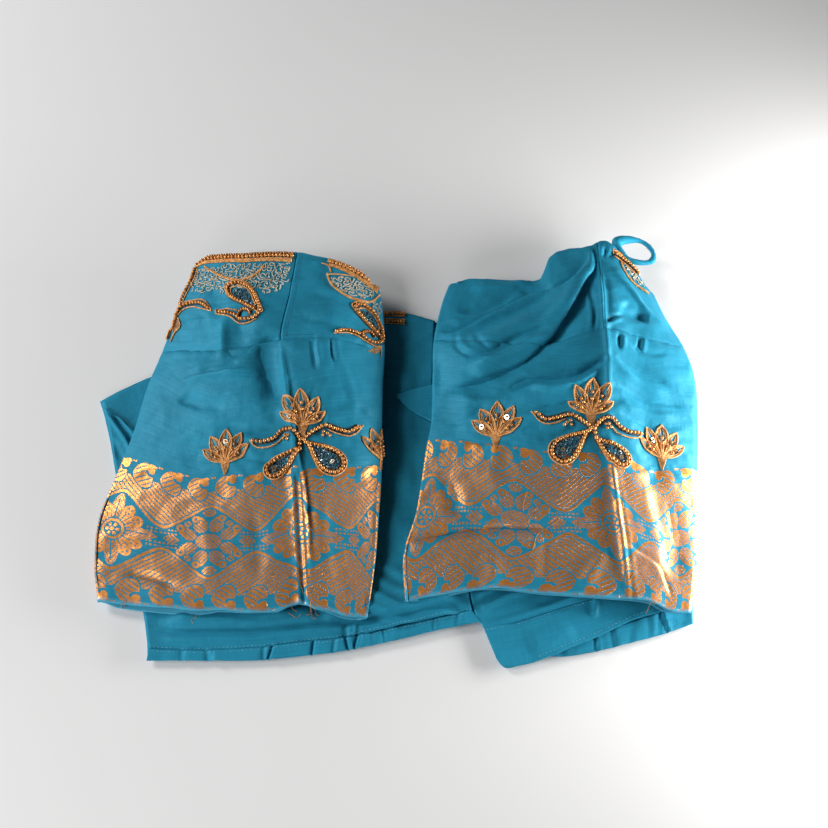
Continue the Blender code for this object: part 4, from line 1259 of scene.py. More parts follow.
class BLOUSE_OT_loop(bpy.types.Operator):
    """Turn the piped tie's loop beside the right shoulder"""
    bl_idname = "blouse.loop"
    bl_label = "Neck loop"

    def execute(self, context):
        work = bmesh.new()
        radius = LOOP_RADIUS * MM
        bmesh.ops.create_circle(work, segments=14, radius=LOOP_PIPING * MM)
        turn_upright(work, "X")
        bmesh.ops.translate(work, verts=work.verts, vec=(radius, 0, 0))
        bmesh.ops.spin(work, geom=work.verts[:] + work.edges[:], cent=(0, 0, 0), axis=(0, 0, 1),
                       angle=2 * math.pi, steps=56, use_merge=True)
        bmesh.ops.recalc_face_normals(work, faces=work.faces)
        for v in work.verts:
            turn = math.atan2(v.co.y, v.co.x)
            mid = Vector((math.cos(turn), math.sin(turn), 0)) * radius
            off = v.co - mid
            swell = 1.1 + 0.10 * math.sin(turn * 5 + 1) + 0.06 * math.sin(turn * 17 + off.z * 2500)
            drawn = math.exp(-((math.pi - abs(turn)) / 0.62)**2)
            near = max(0.0, -math.sin(turn + 0.5))**2
            pull = Vector((-4.6, -7.0, 0)) * drawn + Vector((0, -6.2, 0)) * near
            v.co = mid + off * (swell + 1.0 * drawn + 0.5 * near) + pull * MM
        squeeze = Matrix.Diagonal((1, 0.70, 0.8, 1))
        turn = Matrix.Rotation(math.radians(-46), 4, "Z")
        tilt = Matrix.Rotation(math.radians(4), 4, "Y")
        place = Matrix.Translation(placed((169.6, 141.2, 13.6)))
        bmesh.ops.transform(work, matrix=place @ turn @ tilt @ squeeze, verts=work.verts)
        weave = work.loops.layers.uv.new("cloth")
        for face in work.faces:
            face.smooth = True
            for corner in face.loops:
                corner[weave].uv = corner.vert.co.xy
        item = add_object("neck_tie_loop", work, silk_cloth("silk_light"))
        rides(item, "silk_light", "neck_loop")
        return {"FINISHED"}


# ---------------------------------------------------------------- beads, cords and threads

def inside(points, outline):
    """Which plan points lie inside a closed outline."""
    p, a = np.asarray(points, dtype=float), np.asarray(outline, dtype=float)
    b = np.roll(a, -1, axis=0)
    x, y = p[:, :1], p[:, 1:]
    spans = (a[:, 1] > y) != (b[:, 1] > y)
    rise = np.where(b[:, 1] == a[:, 1], 1e-9, b[:, 1] - a[:, 1])
    hits = spans & (x < a[:, 0] + (y - a[:, 1]) * (b[:, 0] - a[:, 0]) / rise)
    return hits.sum(axis=1) % 2 == 1


def wander(order):
    """Cells of a path that fills a square without crossing itself."""
    cells = [(0, 0)]
    for k in range(order):
        n = 2**k
        cells = ([(y, x) for x, y in cells] + [(x, y + n) for x, y in cells]
                 + [(x + n, y + n) for x, y in cells] + [(2 * n - 1 - y, n - 1 - x) for x, y in cells])
    return np.array(cells, dtype=float)


def petal(turn, length, width, share=1.0, low=0.0, high=1.0):
    """Outline of a pointed petal that starts at the origin, up one side and down the other."""
    s = np.linspace(low, high, 13)
    t = s**1.25
    half = width * length * 4 * t * (1 - t) * share
    left = np.column_stack((-half, s * length))
    right = np.column_stack((half, s * length))[::-1]
    return turned(np.concatenate((left, right)), turn)


def turned(line, degrees):
    """Line turned clockwise about the origin."""
    c, k = math.cos(math.radians(degrees)), math.sin(math.radians(degrees))
    return np.asarray(line, dtype=float) @ np.array(((c, -k), (k, c)))


def teardrop(tip, bulb, width, grow=0.0):
    """Closed drop from its tip round its bulb, made larger by grow on all sides."""
    tip, bulb = np.array(tip, dtype=float), np.array(bulb, dtype=float)
    axis = bulb - tip
    length = np.hypot(*axis)
    axis /= length
    turn = np.linspace(0, 2 * math.pi, 41)
    far = (length + width / 2 + 1.5 * grow) * (1 - np.cos(turn)) / 2 - 0.5 * grow
    wide = 1.47 * (width / 2 + grow) * np.sin(turn) * np.sin(turn / 2)**1.5
    return tip + far[:, None] * axis + wide[:, None] * np.array((-axis[1], axis[0]))


class Ground:
    """Top of the finished cloth, to lay beads and threads on."""

    def __init__(self, *names):
        graph = bpy.context.evaluated_depsgraph_get()
        self.trees = [BVHTree.FromObject(bpy.data.objects[name], graph) for name in names]

    def at(self, x, y):
        start = placed((x, y, 90))
        best = None
        for tree in self.trees:
            spot, normal, _, _ = tree.ray_cast(start, Vector((0, 0, -1)))
            if spot and (best is None or spot.z > best[0].z):
                best = (spot, normal if normal.z > 0 else -normal)
        if best is None:
            low = placed((x, y, 14))
            near = [tree.find_nearest(low) for tree in self.trees]
            spot, normal, _, _ = min(near, key=lambda found: found[3])
            out = low - spot
            best = (spot, normal if normal.dot(out) > 0 else -normal)
        return best

    def follow(self, line, step):
        """Places, in metres, and normals at equal steps over the cloth along a plan line."""
        line = np.asarray(line, dtype=float)
        plan = along(line, max(3, int(run_along(line)[-1] / 0.5) + 1))
        spots = [self.at(x, y) for x, y in plan]
        place = np.array([spot for spot, _ in spots])
        up = np.array([normal for _, normal in spots])
        if len(up) > 6:
            up = np.column_stack([np.convolve(np.pad(up[:, k], 2, "edge"), np.ones(5) / 5, "valid")
                                  for k in range(3)])
        run = run_along(place)
        at = np.linspace(0, run[-1], max(2, round(run[-1] / (step * MM)) + 1))
        place = np.column_stack([np.interp(at, run, place[:, k]) for k in range(3)])
        up = np.column_stack([np.interp(at, run, up[:, k]) for k in range(3)])
        return place, up / np.linalg.norm(up, axis=1, keepdims=True)


def stance(place, up, ahead, size):
    """Matrix that stands a small piece on the cloth, its length ahead; size may differ by axis."""
    up = up / np.linalg.norm(up)
    side = np.cross(up, ahead)
    side /= max(np.linalg.norm(side), 1e-9)
    ahead = np.cross(side, up)
    frame_axes = np.column_stack((ahead, side, up)) * (np.ones(3) * size)
    return frame_axes, place


def small_shape(kind):
    """Bead, sequin, chip or stitch of unit size, centred."""
    work = bmesh.new()
    if kind == "bead":
        bmesh.ops.create_uvsphere(work, u_segments=10, v_segments=7, radius=0.5)
        turn_upright(work, "Y")
        bmesh.ops.scale(work, verts=work.verts, vec=(0.94, 1.0, 1.0))
    elif kind == "stitch":
        bmesh.ops.create_uvsphere(work, u_segments=6, v_segments=4, radius=0.5)
        turn_upright(work, "Y")
    elif kind == "chip":
        bmesh.ops.create_cone(work, cap_ends=True, segments=5, radius1=0.5, radius2=0.3, depth=0.75)
    else:
        bmesh.ops.create_circle(work, cap_ends=True, segments=14, radius=0.5)
        rim = bmesh.ops.inset_individual(work, faces=work.faces[:], thickness=0.33)["faces"]
        bmesh.ops.delete(work, geom=[f for f in work.faces if f not in rim], context="FACES")
        bmesh.ops.solidify(work, geom=work.faces[:], thickness=0.06)
    bmesh.ops.recalc_face_normals(work, faces=work.faces)
    for face in work.faces:
        face.smooth = kind in ("bead", "stitch")
    return add_mesh(f"one_{kind}", work)


def strew(name, kind, stances, finish):
    """Copies of one small shape, joined as a single piece."""
    one = small_shape(kind)
    flat = np.zeros(len(one.vertices) * 3)
    one.vertices.foreach_get("co", flat)
    corners = flat.reshape(-1, 3)
    work = bmesh.new()
    for axes, place in stances:
        one.vertices.foreach_set("co", (corners @ axes.T * MM + place).ravel())
        work.from_mesh(one)
    bpy.data.meshes.remove(one)
    return piece(name, work, finish)


def piece(name, made, finish):
    item = add_object(name, made, finish)
    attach(item, "root")
    return item


def spin_threads(name, runs, radius, finish, plies=1):
    """Round threads, or cords twisted from plies, along runs of places and normals."""
    data = bpy.data.curves.new(name, "CURVE")
    data.dimensions = "3D"
    data.bevel_depth = radius * MM
    data.bevel_resolution = 0
    data.use_fill_caps = True
    for place, up in runs:
        ahead = np.gradient(place, axis=0)
        ahead /= np.maximum(np.linalg.norm(ahead, axis=1, keepdims=True), 1e-9)
        side = np.cross(up, ahead)
        run = run_along(place) / MM
        for ply in range(plies):
            line = place + up * (radius * (1.6 if plies > 1 else 0.55)) * MM
            if plies > 1:
                turn = (2 * math.pi * (run / CORD_PITCH + ply / plies))[:, None]
                line = line + (side * np.cos(turn) + up * np.sin(turn)) * radius * 0.95 * MM
            spline = data.splines.new("POLY")
            spline.points.add(len(line) - 1)
            spline.points.foreach_set("co", np.column_stack((line, np.ones(len(line)))).ravel())
            spline.use_smooth = True
    holder = bpy.data.objects.new(name, data)
    mesh = bpy.data.meshes.new_from_object(holder)
    bpy.data.objects.remove(holder)
    bpy.data.curves.remove(data)
    mesh.name = name
    return piece(name, mesh, finish)


class Beadwork:
    """Collects what is sewn on one part of the cloth, then makes it in joined pieces."""

    def __init__(self, seed, *names):
        self.ground = Ground(*names)
        self.pick = np.random.default_rng(seed)
        self.spot = (0.0, 0.0, 0.0, 1.0, 1.0)
        self.runs = {"cord": [], "thread": [], "fill": [], "dark": []}
        self.stances = {"bead": [], "sequin": [], "chip": []}

    def down(self, line):
        """Line of a motif set at its spot: x, y, turn, size and -1 where it is mirrored."""
        x, y, turn, size, flip = self.spot
        line = np.atleast_2d(np.asarray(line, dtype=float)) * (size * flip, size)
        return turned(line, turn) + (x, y)

    def cord(self, line):
        self.runs["cord"].append(self.ground.follow(self.down(line), CORD_STEP))

    def thread(self, line):
        self.runs["thread"].append(self.ground.follow(self.down(line), THREAD_STEP))

    def dark(self, line):
        self.runs["dark"].append(self.ground.follow(self.down(line), DARK_STEP))

    def beads(self, line, size=None):
        """Row of beads couched between two dark threads, which are partly real thread and partly painted
        shade beside the beads.
        """
        size = size or settings().bead / MM
        flat = along(np.asarray(line, dtype=float), 40)
        ahead = np.gradient(flat, axis=0)
        ahead /= np.maximum(np.hypot(*ahead.T)[:, None], 1e-9)
        # dark threads at both sides of the row: partly couching thread, partly painted shade beside the beads
        for out in (-0.62, 0.62):
            self.dark(flat + np.column_stack((-ahead[:, 1], ahead[:, 0])) * out * size)
        place, up = self.ground.follow(self.down(line), size * 0.97)
        ahead = np.gradient(place, axis=0)
        for p, n, a in zip(place, up, ahead):
            own = size * self.pick.uniform(0.93, 1.05)
            lean = n + self.pick.normal(0, 0.08, 3)
            self.stances["bead"].append(stance(p + n * own * 0.42 * MM, lean, a, own))

    def sit(self, kind, spot, size, lift, loose=0.1):
        (x, y), = self.down(spot)
        place, normal = self.ground.at(x, y)
        n = np.array(normal)
        heading = self.pick.uniform(0, 2 * math.pi)
        ahead = np.array((math.cos(heading), math.sin(heading), 0.2))
        lean = n + self.pick.normal(0, loose, 3)
        self.stances[kind].append(stance(np.array(place) + n * lift * MM, lean, ahead, size))

    def chips(self, outline, step):
        """Small cut crystals heaped inside an outline."""
        low, high = outline.min(axis=0), outline.max(axis=0)
        for x in np.arange(low[0], high[0], step):
            for y in np.arange(low[1], high[1], step):
                spot = np.array((x, y)) + self.pick.uniform(-0.35, 0.35, 2) * step
                if inside([spot], outline)[0]:
                    self.sit("chip", spot, self.pick.uniform(0.9, 1.7), 0.6, 0.9)

    def worm_fill(self, outline, cell, turn):
        """One fine thread wandering over an outline."""
        outline = np.asarray(outline, dtype=float)
        middle = (outline.min(axis=0) + outline.max(axis=0)) / 2
        order = 6
        path = (wander(order) - 2**order / 2) * cell
        path = path + self.pick.uniform(-0.44, 0.44, path.shape) * cell
        path = turned(path, turn) + middle
        kept = inside(path, outline)
        ends = np.flatnonzero(np.diff(np.concatenate(((0,), kept.astype(int), (0,)))))
        for a, b in zip(ends[::2], ends[1::2]):
            if b - a > 2:
                self.runs["fill"].append(self.ground.follow(path[a:b], FILL_STEP))

    def make(self, name):
        for kind, label, radius, finish, plies in (
            ("cord", "gold_cord", 0.30, "zari_cord", 2),
            ("thread", "gold_thread", 0.30, "zari_thread", 1),
            ("fill", "cream_thread", 0.42, "cream_floss", 1),
            # the dark thread is partly real thread and partly painted shade beside the bead rows
            ("dark", "dark_thread_and_shade", 0.34, "bronze_thread_and_shade", 1),
        ):
            if self.runs[kind]:
                spin_threads(f"{label}_{name}", self.runs[kind], radius, small_finish(finish), plies)
        for kind, finish in (("bead", "gold_bead"), ("sequin", "sequin_foil"), ("chip", "crystal_chip")):
            if self.stances[kind]:
                strew(f"{kind}s_{name}", kind, self.stances[kind], small_finish(finish))


def small_finish(name):
    """Finish of a small piece, its colour and gloss varying a little from spot to spot."""
    if name in bpy.data.materials:
        return bpy.data.materials[name]
    low, high, scale, rough, metal, depth = FINISHES[name]
    board = Board(name)
    spot = board.object_place()
    speck = board.noise(spot, scale, 2.0)
    tone = board.blend(board.curve(speck, 0.3, 0.7), colour(low), colour(high))
    board.join(tone, board.shader.inputs["Base Color"])
    board.join(board.curve(speck, 0.3, 0.7, rough + 0.08, rough - 0.06), board.shader.inputs["Roughness"])
    board.shader.inputs["Metallic"].default_value = metal
    fine = board.noise(spot, scale * 4, 2.0)
    board.join(board.bump(fine, depth, 0.5), board.shader.inputs["Normal"])
    if name == "cream_floss":
        board.shader.inputs["Sheen Weight"].default_value = 0.3
    if name == "crystal_chip":
        board.shader.inputs["Coat Weight"].default_value = 0.35
    return board.material


LOTUS = ((-53, 21.0), (-27, 25.0), (0, 27.0), (27, 25.0), (53, 21.0))
SPRAY_LOTUS = ((-58, 17.0), (-31, 25.0), (-6, 26.0), (24, 22.0), (53, 17.0))


def lotus(work, petals=LOTUS):
    """Five-petalled lotus in gold cord and thread, its stem tip at the origin."""
    heart = np.array((0.0, 9.0))
    for turn, length in petals:
        work.cord(heart + petal(turn, length, 0.175))
        for share, low, high in ((0.80, 0.10, 0.96), (0.62, 0.14, 0.97), (0.34, 0.66, 0.96),
                                 (0.42, 0.06, 0.50)):
            work.thread(heart + petal(turn, length, 0.175, share, low, high))
        for lean, reach in ((-10, 0.46), (-4, 0.40), (4, 0.40), (10, 0.46)):
            vein = ((0, 0.4), (0, length * reach * 0.5), (0, length * reach))
            work.thread(heart + turned(vein, turn + lean))
        axis = turned(((0.0, length * 0.60), (0.0, length * 0.44)), turn)
        work.sit("sequin", heart + axis[0], 3.3, 0.9, 0.22)
        work.sit("bead", heart + axis[0], 1.6, 1.4)
        work.sit("bead", heart + axis[1], 2.3, 1.0)
    for k in range(-5, 6):
        work.thread(((0.05 * k, 0.0), (0.34 * k, 4.5), (0.62 * k, 10.2 - 0.2 * abs(k))))


def arm(work, line, under, leaf):
    """Beaded tendril with a cord under it and a small leaf of beads."""
    work.beads(line)
    work.cord(under)
    for spot in leaf:
        work.sit("bead", spot, 2.0, 0.8)


def beaded_drop(work, tip, bulb, width):
    """Drop outlined in beads between two cords, filled with cut crystals."""
    work.beads(teardrop(tip, bulb, width))
    work.cord(teardrop(tip, bulb, width, 1.75))
    work.thread(teardrop(tip, bulb, width, -1.6))
    work.chips(teardrop(tip, bulb, width, -1.9), CHIP_STEP)
    work.sit("sequin", bulb, 3.0, 1.5, 0.3)


def spray(work):
    """Lotus over two beaded arms and two drops, its knot at the origin."""
    lotus(work, SPRAY_LOTUS)
    arm(work, ((-2.6, 1.5), (-7.2, 6.0), (-12.5, 6.4), (-17.5, 1.2), (-24.3, -1.4), (-30.5, -0.6)),
        ((-32.6, 0.2), (-28.8, -4.2), (-22.5, -5.2), (-16.0, -3.2), (-12.4, 0.6), (-9.5, 2.2)),
        ((-10.6, 2.6), (-11.6, 0.4), (-9.4, -0.2), (-8.8, 2.4)))
    arm(work, ((2.2, 1.6), (8.0, 6.6), (14.0, 9.6), (20.5, 8.2), (28.2, 7.3), (34.2, 11.4)),
        ((37.0, 13.4), (33.2, 7.6), (27.6, 4.0), (21.0, 4.6), (15.8, 6.6)),
        ((13.0, 5.2), (15.2, 4.0), (17.0, 2.4), (12.6, 2.8)))
    work.beads(((-1.4, -0.6), (-1.6, -3.6), (-2.0, -6.4)))
    work.beads(((1.2, -0.6), (2.2, -2.2)))
    beaded_drop(work, (-2.0, -7.2), (-16.5, -19.5), 9.6)
    beaded_drop(work, (3.4, -2.6), (18.6, -14.6), 13.6)
    work.sit("bead", (0, 0), 2.6, 1.0)


def neck_run(side, x0, x1, depth):
    """Plan line that keeps a depth below the neck edge."""
    row = SIDES[side]["table"][0]
    edge = curve_at(row, np.linspace(0, 4, 81))
    x = np.linspace(x0, x1, 15)
    y = np.interp(x, edge[:, 0], edge[:, 1]) + table_at(x, NECK_FLAP)
    return np.column_stack((x, y - depth * np.linspace(0.9, 1.3, 15)))


def neck_border(work, side, x0, x1):
    """Gold cords and beads along the neck edge."""
    for depth in (4.9, 5.6, 6.3, 7.0):
        work.cord(neck_run(side, x0, x1, depth))
    work.beads(neck_run(side, x0, x1, 1.0), 1.9)
    work.beads(neck_run(side, x0, x1, 3.2), 2.7)


class BLOUSE_OT_beadwork(bpy.types.Operator):
    """Sew the beads, gold cord, sequins and fine threads on the sleeves, shoulders and front"""
    bl_idname = "blouse.beadwork"
    bl_label = "Beadwork"

    def execute(self, context):
        self.sleeve("left", ((-103.9, -38.4, -2, 0.86, 1), (-6.8, -30.6, 4, 0.86, 1)),
                    (-56.6, -17.2, 0, 1.0, 1))
        self.sleeve("right", ((63.6, -19.5, 4, 0.92, 1), (166.8, -32.9, 4, 0.86, 1)),
                    (123.3, -10.1, 0, 1.0, -1))
        self.left_shoulder()
        self.right_shoulder()
        work = Beadwork(31, "silk_front_left")
        for y in (95.4, 89.2):
            work.beads(((-12, y), (-4, y + 0.2), (5.8, y - 0.2)), 2.1)
            for gap in (-1.7, 1.7):
                work.cord(((-12, y + gap), (-4, y + gap + 0.2), (6.4, y + gap - 0.2)))
        work.make("front")
        return {"FINISHED"}

    def sleeve(self, side, lotuses, knot):
        work = Beadwork(7 if side == "left" else 8, f"silk_sleeve_{side}")
        for spot in lotuses:
            work.spot = spot
            lotus(work)
        work.spot = knot
        spray(work)
        work.make(f"sleeve_{side}")

    def left_shoulder(self):
        work = Beadwork(5, "silk_shoulder_left_outer", "silk_shoulder_left_inner", "silk_sleeve_left")
        neck_border(work, "left", -138.5, -70.5)
        neck_border(work, "left", -45.0, -12.5)
        work.worm_fill(((-138, 125), (-139.7, 105.5), (-133.6, 102.9), (-122.8, 103.9), (-116, 98.3),
                        (-112.4, 100.5), (-92.1, 99.4), (-87.5, 93.6), (-82.7, 93.5), (-71.5, 98.8),
                        (-71.0, 121), (-100, 124)), 1.85, 8)
        for gap in (0.0, 1.0):
            work.cord(((-131.5, 126.9 - gap), (-123, 118.7 - gap), (-114.7, 112.1 - gap), (-105.6, 108 - gap),
                       (-97.7, 109.5 - gap), (-92.1, 114.8 - gap), (-89.1, 120 - gap)))
        hook = ((-92.6, 81.2), (-99.6, 86.8), (-107.4, 92.1), (-111.9, 98.5), (-112.1, 104.2),
                (-106.5, 105.4), (-100.2, 102.9), (-94.8, 96), (-91.5, 87.1), (-89.4, 81.1), (-91.4, 76.0),
                (-96.3, 74.3), (-101.8, 75.3), (-105.1, 78.2), (-108.9, 80.5), (-113.3, 82.3),
                (-118.6, 84.1))
        work.beads(hook)
        middle = np.array((-101.5, 92.5))
        for grow in (1.16, 0.78):
            ring = np.array(hook[:10] + hook[:1])
            work.cord(middle + (ring - middle) * grow)
        inner = np.array(hook[:10])
        work.chips(middle + (inner - middle) * 0.66, CHIP_STEP)
        work.beads(((-103.3, 79.1), (-102.3, 81.8), (-99.3, 82.4), (-96.1, 80.4), (-95.3, 77.6)), 2.0)
        work.cord(((-91.0, 73.4), (-97.0, 71.6), (-103.6, 73.0), (-109.6, 78.2), (-119.6, 82.8)))
        work.cord(((-119.6, 84.6), (-112.0, 84.6), (-107.6, 83.2), (-104.6, 82.2)))
        work.beads(((-148.0, 89.4), (-146.1, 94.8), (-141.2, 96.4), (-132.7, 95.2), (-128.3, 92.0),
                    (-125.0, 88.6)))
        work.cord(((-147.6, 87.0), (-143.4, 92.4), (-136.6, 92.8), (-130.6, 89.6), (-122.8, 85.4)))
        work.cord(((-146.6, 97.6), (-141.0, 98.8), (-131.0, 97.4), (-126.2, 92.8), (-122.4, 85.6)))
        work.beads(((-138.6, 126), (-140.0, 118.3), (-142.3, 112.0), (-144.6, 105.7), (-147.4, 97.0),
                    (-149.6, 88.6), (-151.0, 81.0)))
        work.cord(((-136.4, 126), (-137.8, 117.6), (-140.4, 110.8), (-142.8, 104.8), (-144.6, 98.4)))
        work.sit("sequin", (-139.4, 112.4), 3.4, 1.0, 0.3)
        for k in range(7):
            work.thread(((-146.5 - 0.6 * k, 86.4 - k), (-145.2 - 0.5 * k, 79.4 - k),
                         (-148.2, 74.4 - 0.9 * k)))
        work.cord(((-146.4, 86.4), (-144.0, 78.6), (-147.6, 73.4), (-149.6, 67.6)))
        work.beads(((-151.4, 79.0), (-152.4, 71.0)), 2.0)
        # the half that lies to the right of the seam
        work.cord(((-50.1, 121.6), (-45.4, 119.6), (-43.6, 113.6)))
        leaf = ((-46.1, 111.4), (-43.7, 103.5), (-39.3, 97.2), (-32.7, 92.8), (-26.2, 91.4), (-19.3, 92.6),
                (-14.7, 96.5), (-10.9, 103.3))
        for gap in (0.0, 1.0):
            work.cord(tuple((x, y + gap) for x, y in leaf))
        work.cord(((-46.1, 111.4), (-38, 112.2), (-29.1, 112.8), (-20.6, 112.4), (-12.2, 108.4)))
        work.worm_fill(((-45, 110.4), (-42.6, 104), (-38.4, 98.6), (-32, 94.8), (-26.2, 93.4), (-19.8, 94.6),
                        (-15.6, 98), (-11.9, 104), (-12.6, 107.6), (-20.6, 111.4), (-29, 111.6)), 1.8, 20)
        work.worm_fill(((-18.4, 92.0), (-9.9, 101.1), (-8.6, 86.5), (-11.7, 85.5), (-15.5, 89.6)), 1.8, 35)
        ring = ((-9.9, 68.3), (-15.2, 72.8), (-19.9, 76.9), (-24.5, 81.3), (-26.5, 85.8), (-23.3, 88.6),
                (-19.2, 88.6), (-14.5, 85.6), (-11.4, 80.4), (-9.4, 75.0), (-8.9, 66.0), (-13.6, 61.9),
                (-18.2, 61.7), (-21.4, 63.4), (-25.5, 65.2), (-29.2, 65.4), (-33.2, 64.3), (-38.0, 61.6))
        work.beads(ring)
        middle = np.array((-16.6, 78.6))
        for grow in (1.2, 0.76):
            work.cord(middle + (np.array(ring[:10] + ring[:1]) - middle) * grow)
        work.chips(middle + (np.array(ring[:10]) - middle) * 0.64, 1.3)
        work.beads(((-21.4, 65.8), (-19.2, 68.4), (-16, 69), (-13.9, 66.8)), 2.0)
        work.cord(((-9.6, 60.4), (-14.0, 59.4), (-20.0, 60.4), (-27.4, 62.8), (-34.4, 61.6), (-39.4, 60.4)))
        for k in range(5):
            work.thread(((-17.6 + k, 53.4), (-12.4 + 0.8 * k, 59.4), (-9.2, 61.0 - k), (-9.4, 53.4)))
        work.make("shoulder_left")

    def right_shoulder(self):
        work = Beadwork(6, "silk_shoulder_right_outer", "silk_shoulder_right_inner")
        for depth in (0.8, 1.7, 2.6):
            work.cord(((150.2, 140.2 - depth), (156.0, 137.0 - depth), (162.0, 131.8 - depth),
                       (168.4, 124.0 - depth)))
        work.beads(((150.8, 136.0), (156.0, 132.6), (161.4, 128.6), (166.6, 122.4)), 2.3)
        work.cord(((150.8, 132.6), (155.3, 129.2), (160.8, 124.8), (165.0, 119.6)))
        for gap in (0.0, 1.0):
            work.cord(((155.0, 128.6 - gap), (156.4, 120 - gap), (159.6, 114.0 - gap), (165.2, 109.4 - gap),
                       (172.2, 105.8 - gap)))
        work.worm_fill(((156.6, 127.2), (157.8, 120.4), (161.2, 115.2), (166.4, 111.2), (172.4, 108.0),
                        (170.6, 113.6), (166.8, 118.6), (161.6, 124.2)), 1.7, 40)
        work.make("shoulder_right")


# ---------------------------------------------------------------- stitching and loose threads

def sew_line(ground, line, pitch, stances):
    place, up = ground.follow(line, pitch)
    ahead = np.gradient(place, axis=0)
    for p, n, a in zip(place, up, ahead):
        stances.append(stance(p + n * 0.05 * MM, n, a, np.array(STITCH)))


class BLOUSE_OT_stitching(bpy.types.Operator):
    """Topstitch the seams and hems, and leave a few loose threads at the cuffs"""
    bl_idname = "blouse.stitching"
    bl_label = "Stitching"

    def execute(self, context):
        stances = []
        shoulders = Ground(*(f"silk_shoulder_{side}_{half}" for side in SIDES for half in ("outer", "inner")),
                           "silk_sleeve_left", "silk_sleeve_right")
        ridge = curve_at(LEFT_SECTIONS, np.linspace(0.08, 1.93, 12))[:, 2]
        sew_line(shoulders, ridge[:, :2] + (3.6, 0), 2.1, stances)
        for table, columns in ((LEFT_SECTIONS, (2.1, 3.8)), (RIGHT_SECTIONS, (2.1, 3.7))):
            row = curve_at(curve_at(table, 1.93)[0], np.linspace(*columns, 12))
            sew_line(shoulders, row[:, :2], 2.1, stances)
        strew("seam_stitches", "stitch", stances, small_finish("silk_thread"))
        stances = []
        hems = Ground("hem_band_left", "silk_front_left", "hem_band_right", "silk_front_right",
                      "hem_band_back", "silk_back")
        for line, gap in ((LEFT_SEAM, 1.4), (LEFT_SEAM, -1.2), (RIGHT_SEAM, -1.4)):
            p = along(line, 60)[1:-1]
            sew_line(hems, p + (0, gap), 2.4, stances)
        sew_line(hems, along(RIGHT_HEM[4:], 30)[:-1] + (0, 2.6), 2.4, stances)
        # the hem stitches' pale colour is a painted highlight
        strew("hem_stitches", "stitch", stances, small_finish("painted_highlight_thread"))
        self.loose_threads()
        return {"FINISHED"}

    def loose_threads(self):
        """Cut ends of zari along the cuffs"""
        pick = np.random.default_rng(19)
        ground = Ground("silk_sleeve_left", "silk_sleeve_right", "silk_front_left", "hem_band_left",
                        "silk_back")
        runs = []
        for x, y in ((-57, -121), (-52, -123), (-49, -120), (-62, -122), (-44, -123), (-160, -116),
                     (-116, -122), (12, -114), (150, -118), (-52, -112), (-49, -104), (-55, -108),
                     (148, -104)):
            turn = pick.uniform(0, 2 * math.pi)
            a = np.array((x, y), dtype=float)
            b = a + pick.uniform(3, 6) * np.array((math.cos(turn), math.sin(turn)))
            c = b + pick.uniform(2, 5) * np.array((math.cos(turn + 1.3), math.sin(turn + 1.3)))
            runs.append(ground.follow((a, (a + b) / 2 + (0.6, -0.5), b, c), DARK_STEP))
        for a, b, c in (((84, -86), (88, -76), (100, -69)), ((79, -62), (80, -55), (82, -49))):
            runs.append(ground.follow((a, b, c), DARK_STEP))
        spin_threads("loose_threads", runs, 0.14, small_finish("zari_thread"))


# ---------------------------------------------------------------- stage

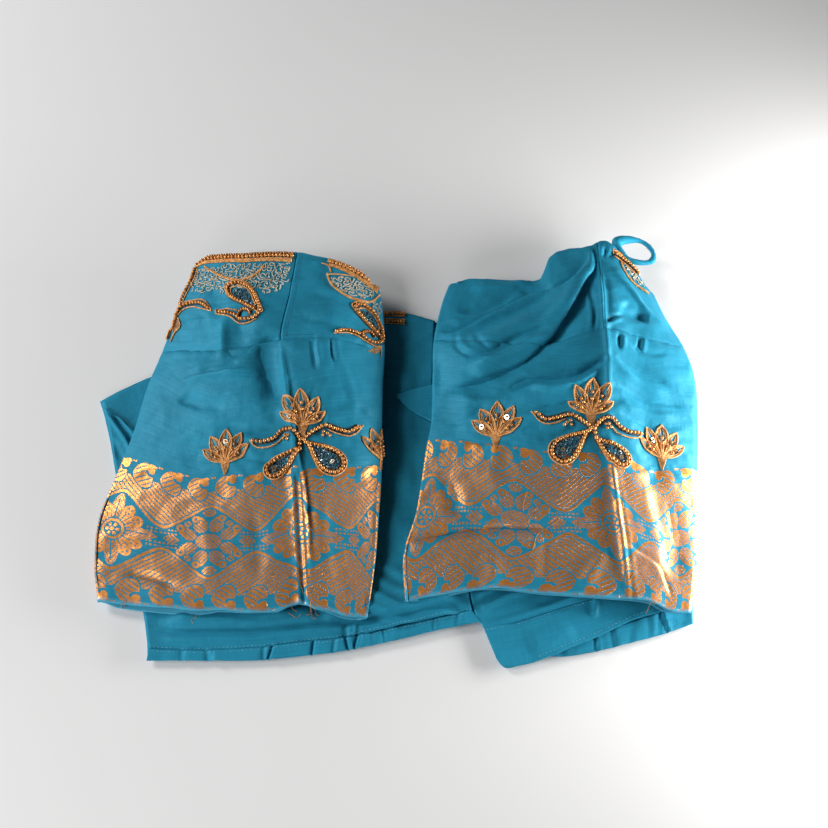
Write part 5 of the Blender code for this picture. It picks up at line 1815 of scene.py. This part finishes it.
class BLOUSE_OT_stage(bpy.types.Operator):
    """Set the pale floor, the soft lights and the camera"""
    bl_idname = "blouse.stage"
    bl_label = "Stage"

    def execute(self, context):
        scene = context.scene
        work = bmesh.new()
        bmesh.ops.create_grid(work, x_segments=8, y_segments=8, size=FLOOR_SIZE)
        bmesh.ops.translate(work, verts=work.verts, vec=(0, 0, FLOOR_Z))
        board = Board("pale_floor")
        mottle = board.noise(board.object_place(), 6.0, 3.0)
        tone = board.blend(mottle, (0.93, 0.93, 0.93, 1), (0.96, 0.96, 0.96, 1))
        board.join(tone, board.shader.inputs["Base Color"])
        board.shader.inputs["Roughness"].default_value = 0.9
        board.shader.inputs["Specular IOR Level"].default_value = 0.1
        floor = add_object("floor", work, board.material)
        for name, place, aim, power, size, tint in LAMPS:
            lamp = bpy.data.lights.new(name, "AREA")
            lamp.energy = power
            lamp.shape = "RECTANGLE"
            lamp.size, lamp.size_y = size
            lamp.color = tint
            item = bpy.data.objects.new(name, lamp)
            item.location = place
            item.rotation_euler = (Vector(aim) - Vector(place)).to_track_quat("-Z", "Y").to_euler()
            scene.collection.objects.link(item)
        world = bpy.data.worlds.new("studio")
        scene.world = world
        world.use_nodes = True
        sky = world.node_tree.nodes["Background"]
        sky.inputs["Color"].default_value = (1.0, 1.0, 1.0, 1.0)
        sky.inputs["Strength"].default_value = SKY_STRENGTH
        scene.view_settings.view_transform = "Standard"
        lens = bpy.data.cameras.new("camera")
        lens.lens = 54.0
        lens.sensor_width = 36.0
        camera = bpy.data.objects.new("camera", lens)
        aim = Vector(np.array(CAMERA_AIM) + SHIFT) * MM
        rise = math.radians(CAMERA_RISE)
        back = Vector((0, -math.cos(rise), math.sin(rise)))
        camera.location = aim + back * CAMERA_AWAY
        camera.rotation_euler = (math.radians(90 - CAMERA_RISE), 0, 0)
        scene.collection.objects.link(camera)
        scene.camera = camera
        return {"FINISHED"}


class BLOUSE_PT_panel(bpy.types.Panel):
    """Every step of the blouse, in order"""
    bl_label = "Blouse"
    bl_idname = "BLOUSE_PT_panel"
    bl_space_type = "VIEW_3D"
    bl_region_type = "UI"
    bl_category = "Blouse"

    def draw(self, context):
        for key in BlouseSettings.__annotations__:
            self.layout.prop(context.scene.blouse, key)
        for step in STEPS:
            self.layout.operator(step.bl_idname)


STEPS = (BLOUSE_OT_stage, BLOUSE_OT_body, BLOUSE_OT_layers, BLOUSE_OT_shoulders, BLOUSE_OT_sleeves,
         BLOUSE_OT_loop, BLOUSE_OT_beadwork, BLOUSE_OT_stitching)
CLASSES = (BlouseSettings, *STEPS, BLOUSE_PT_panel)


def register():
    for item in CLASSES:
        bpy.utils.register_class(item)
    bpy.types.Scene.blouse = PointerProperty(type=BlouseSettings)


def unregister():
    del bpy.types.Scene.blouse
    for item in reversed(CLASSES):
        bpy.utils.unregister_class(item)


def main():
    register()
    bpy.ops.blouse.stage()
    bpy.ops.blouse.body()
    bpy.ops.blouse.layers()
    bpy.ops.blouse.shoulders()
    bpy.ops.blouse.sleeves()
    bpy.ops.blouse.loop()
    bpy.ops.blouse.beadwork()
    bpy.ops.blouse.stitching()


if __name__ == "__main__":
    main()
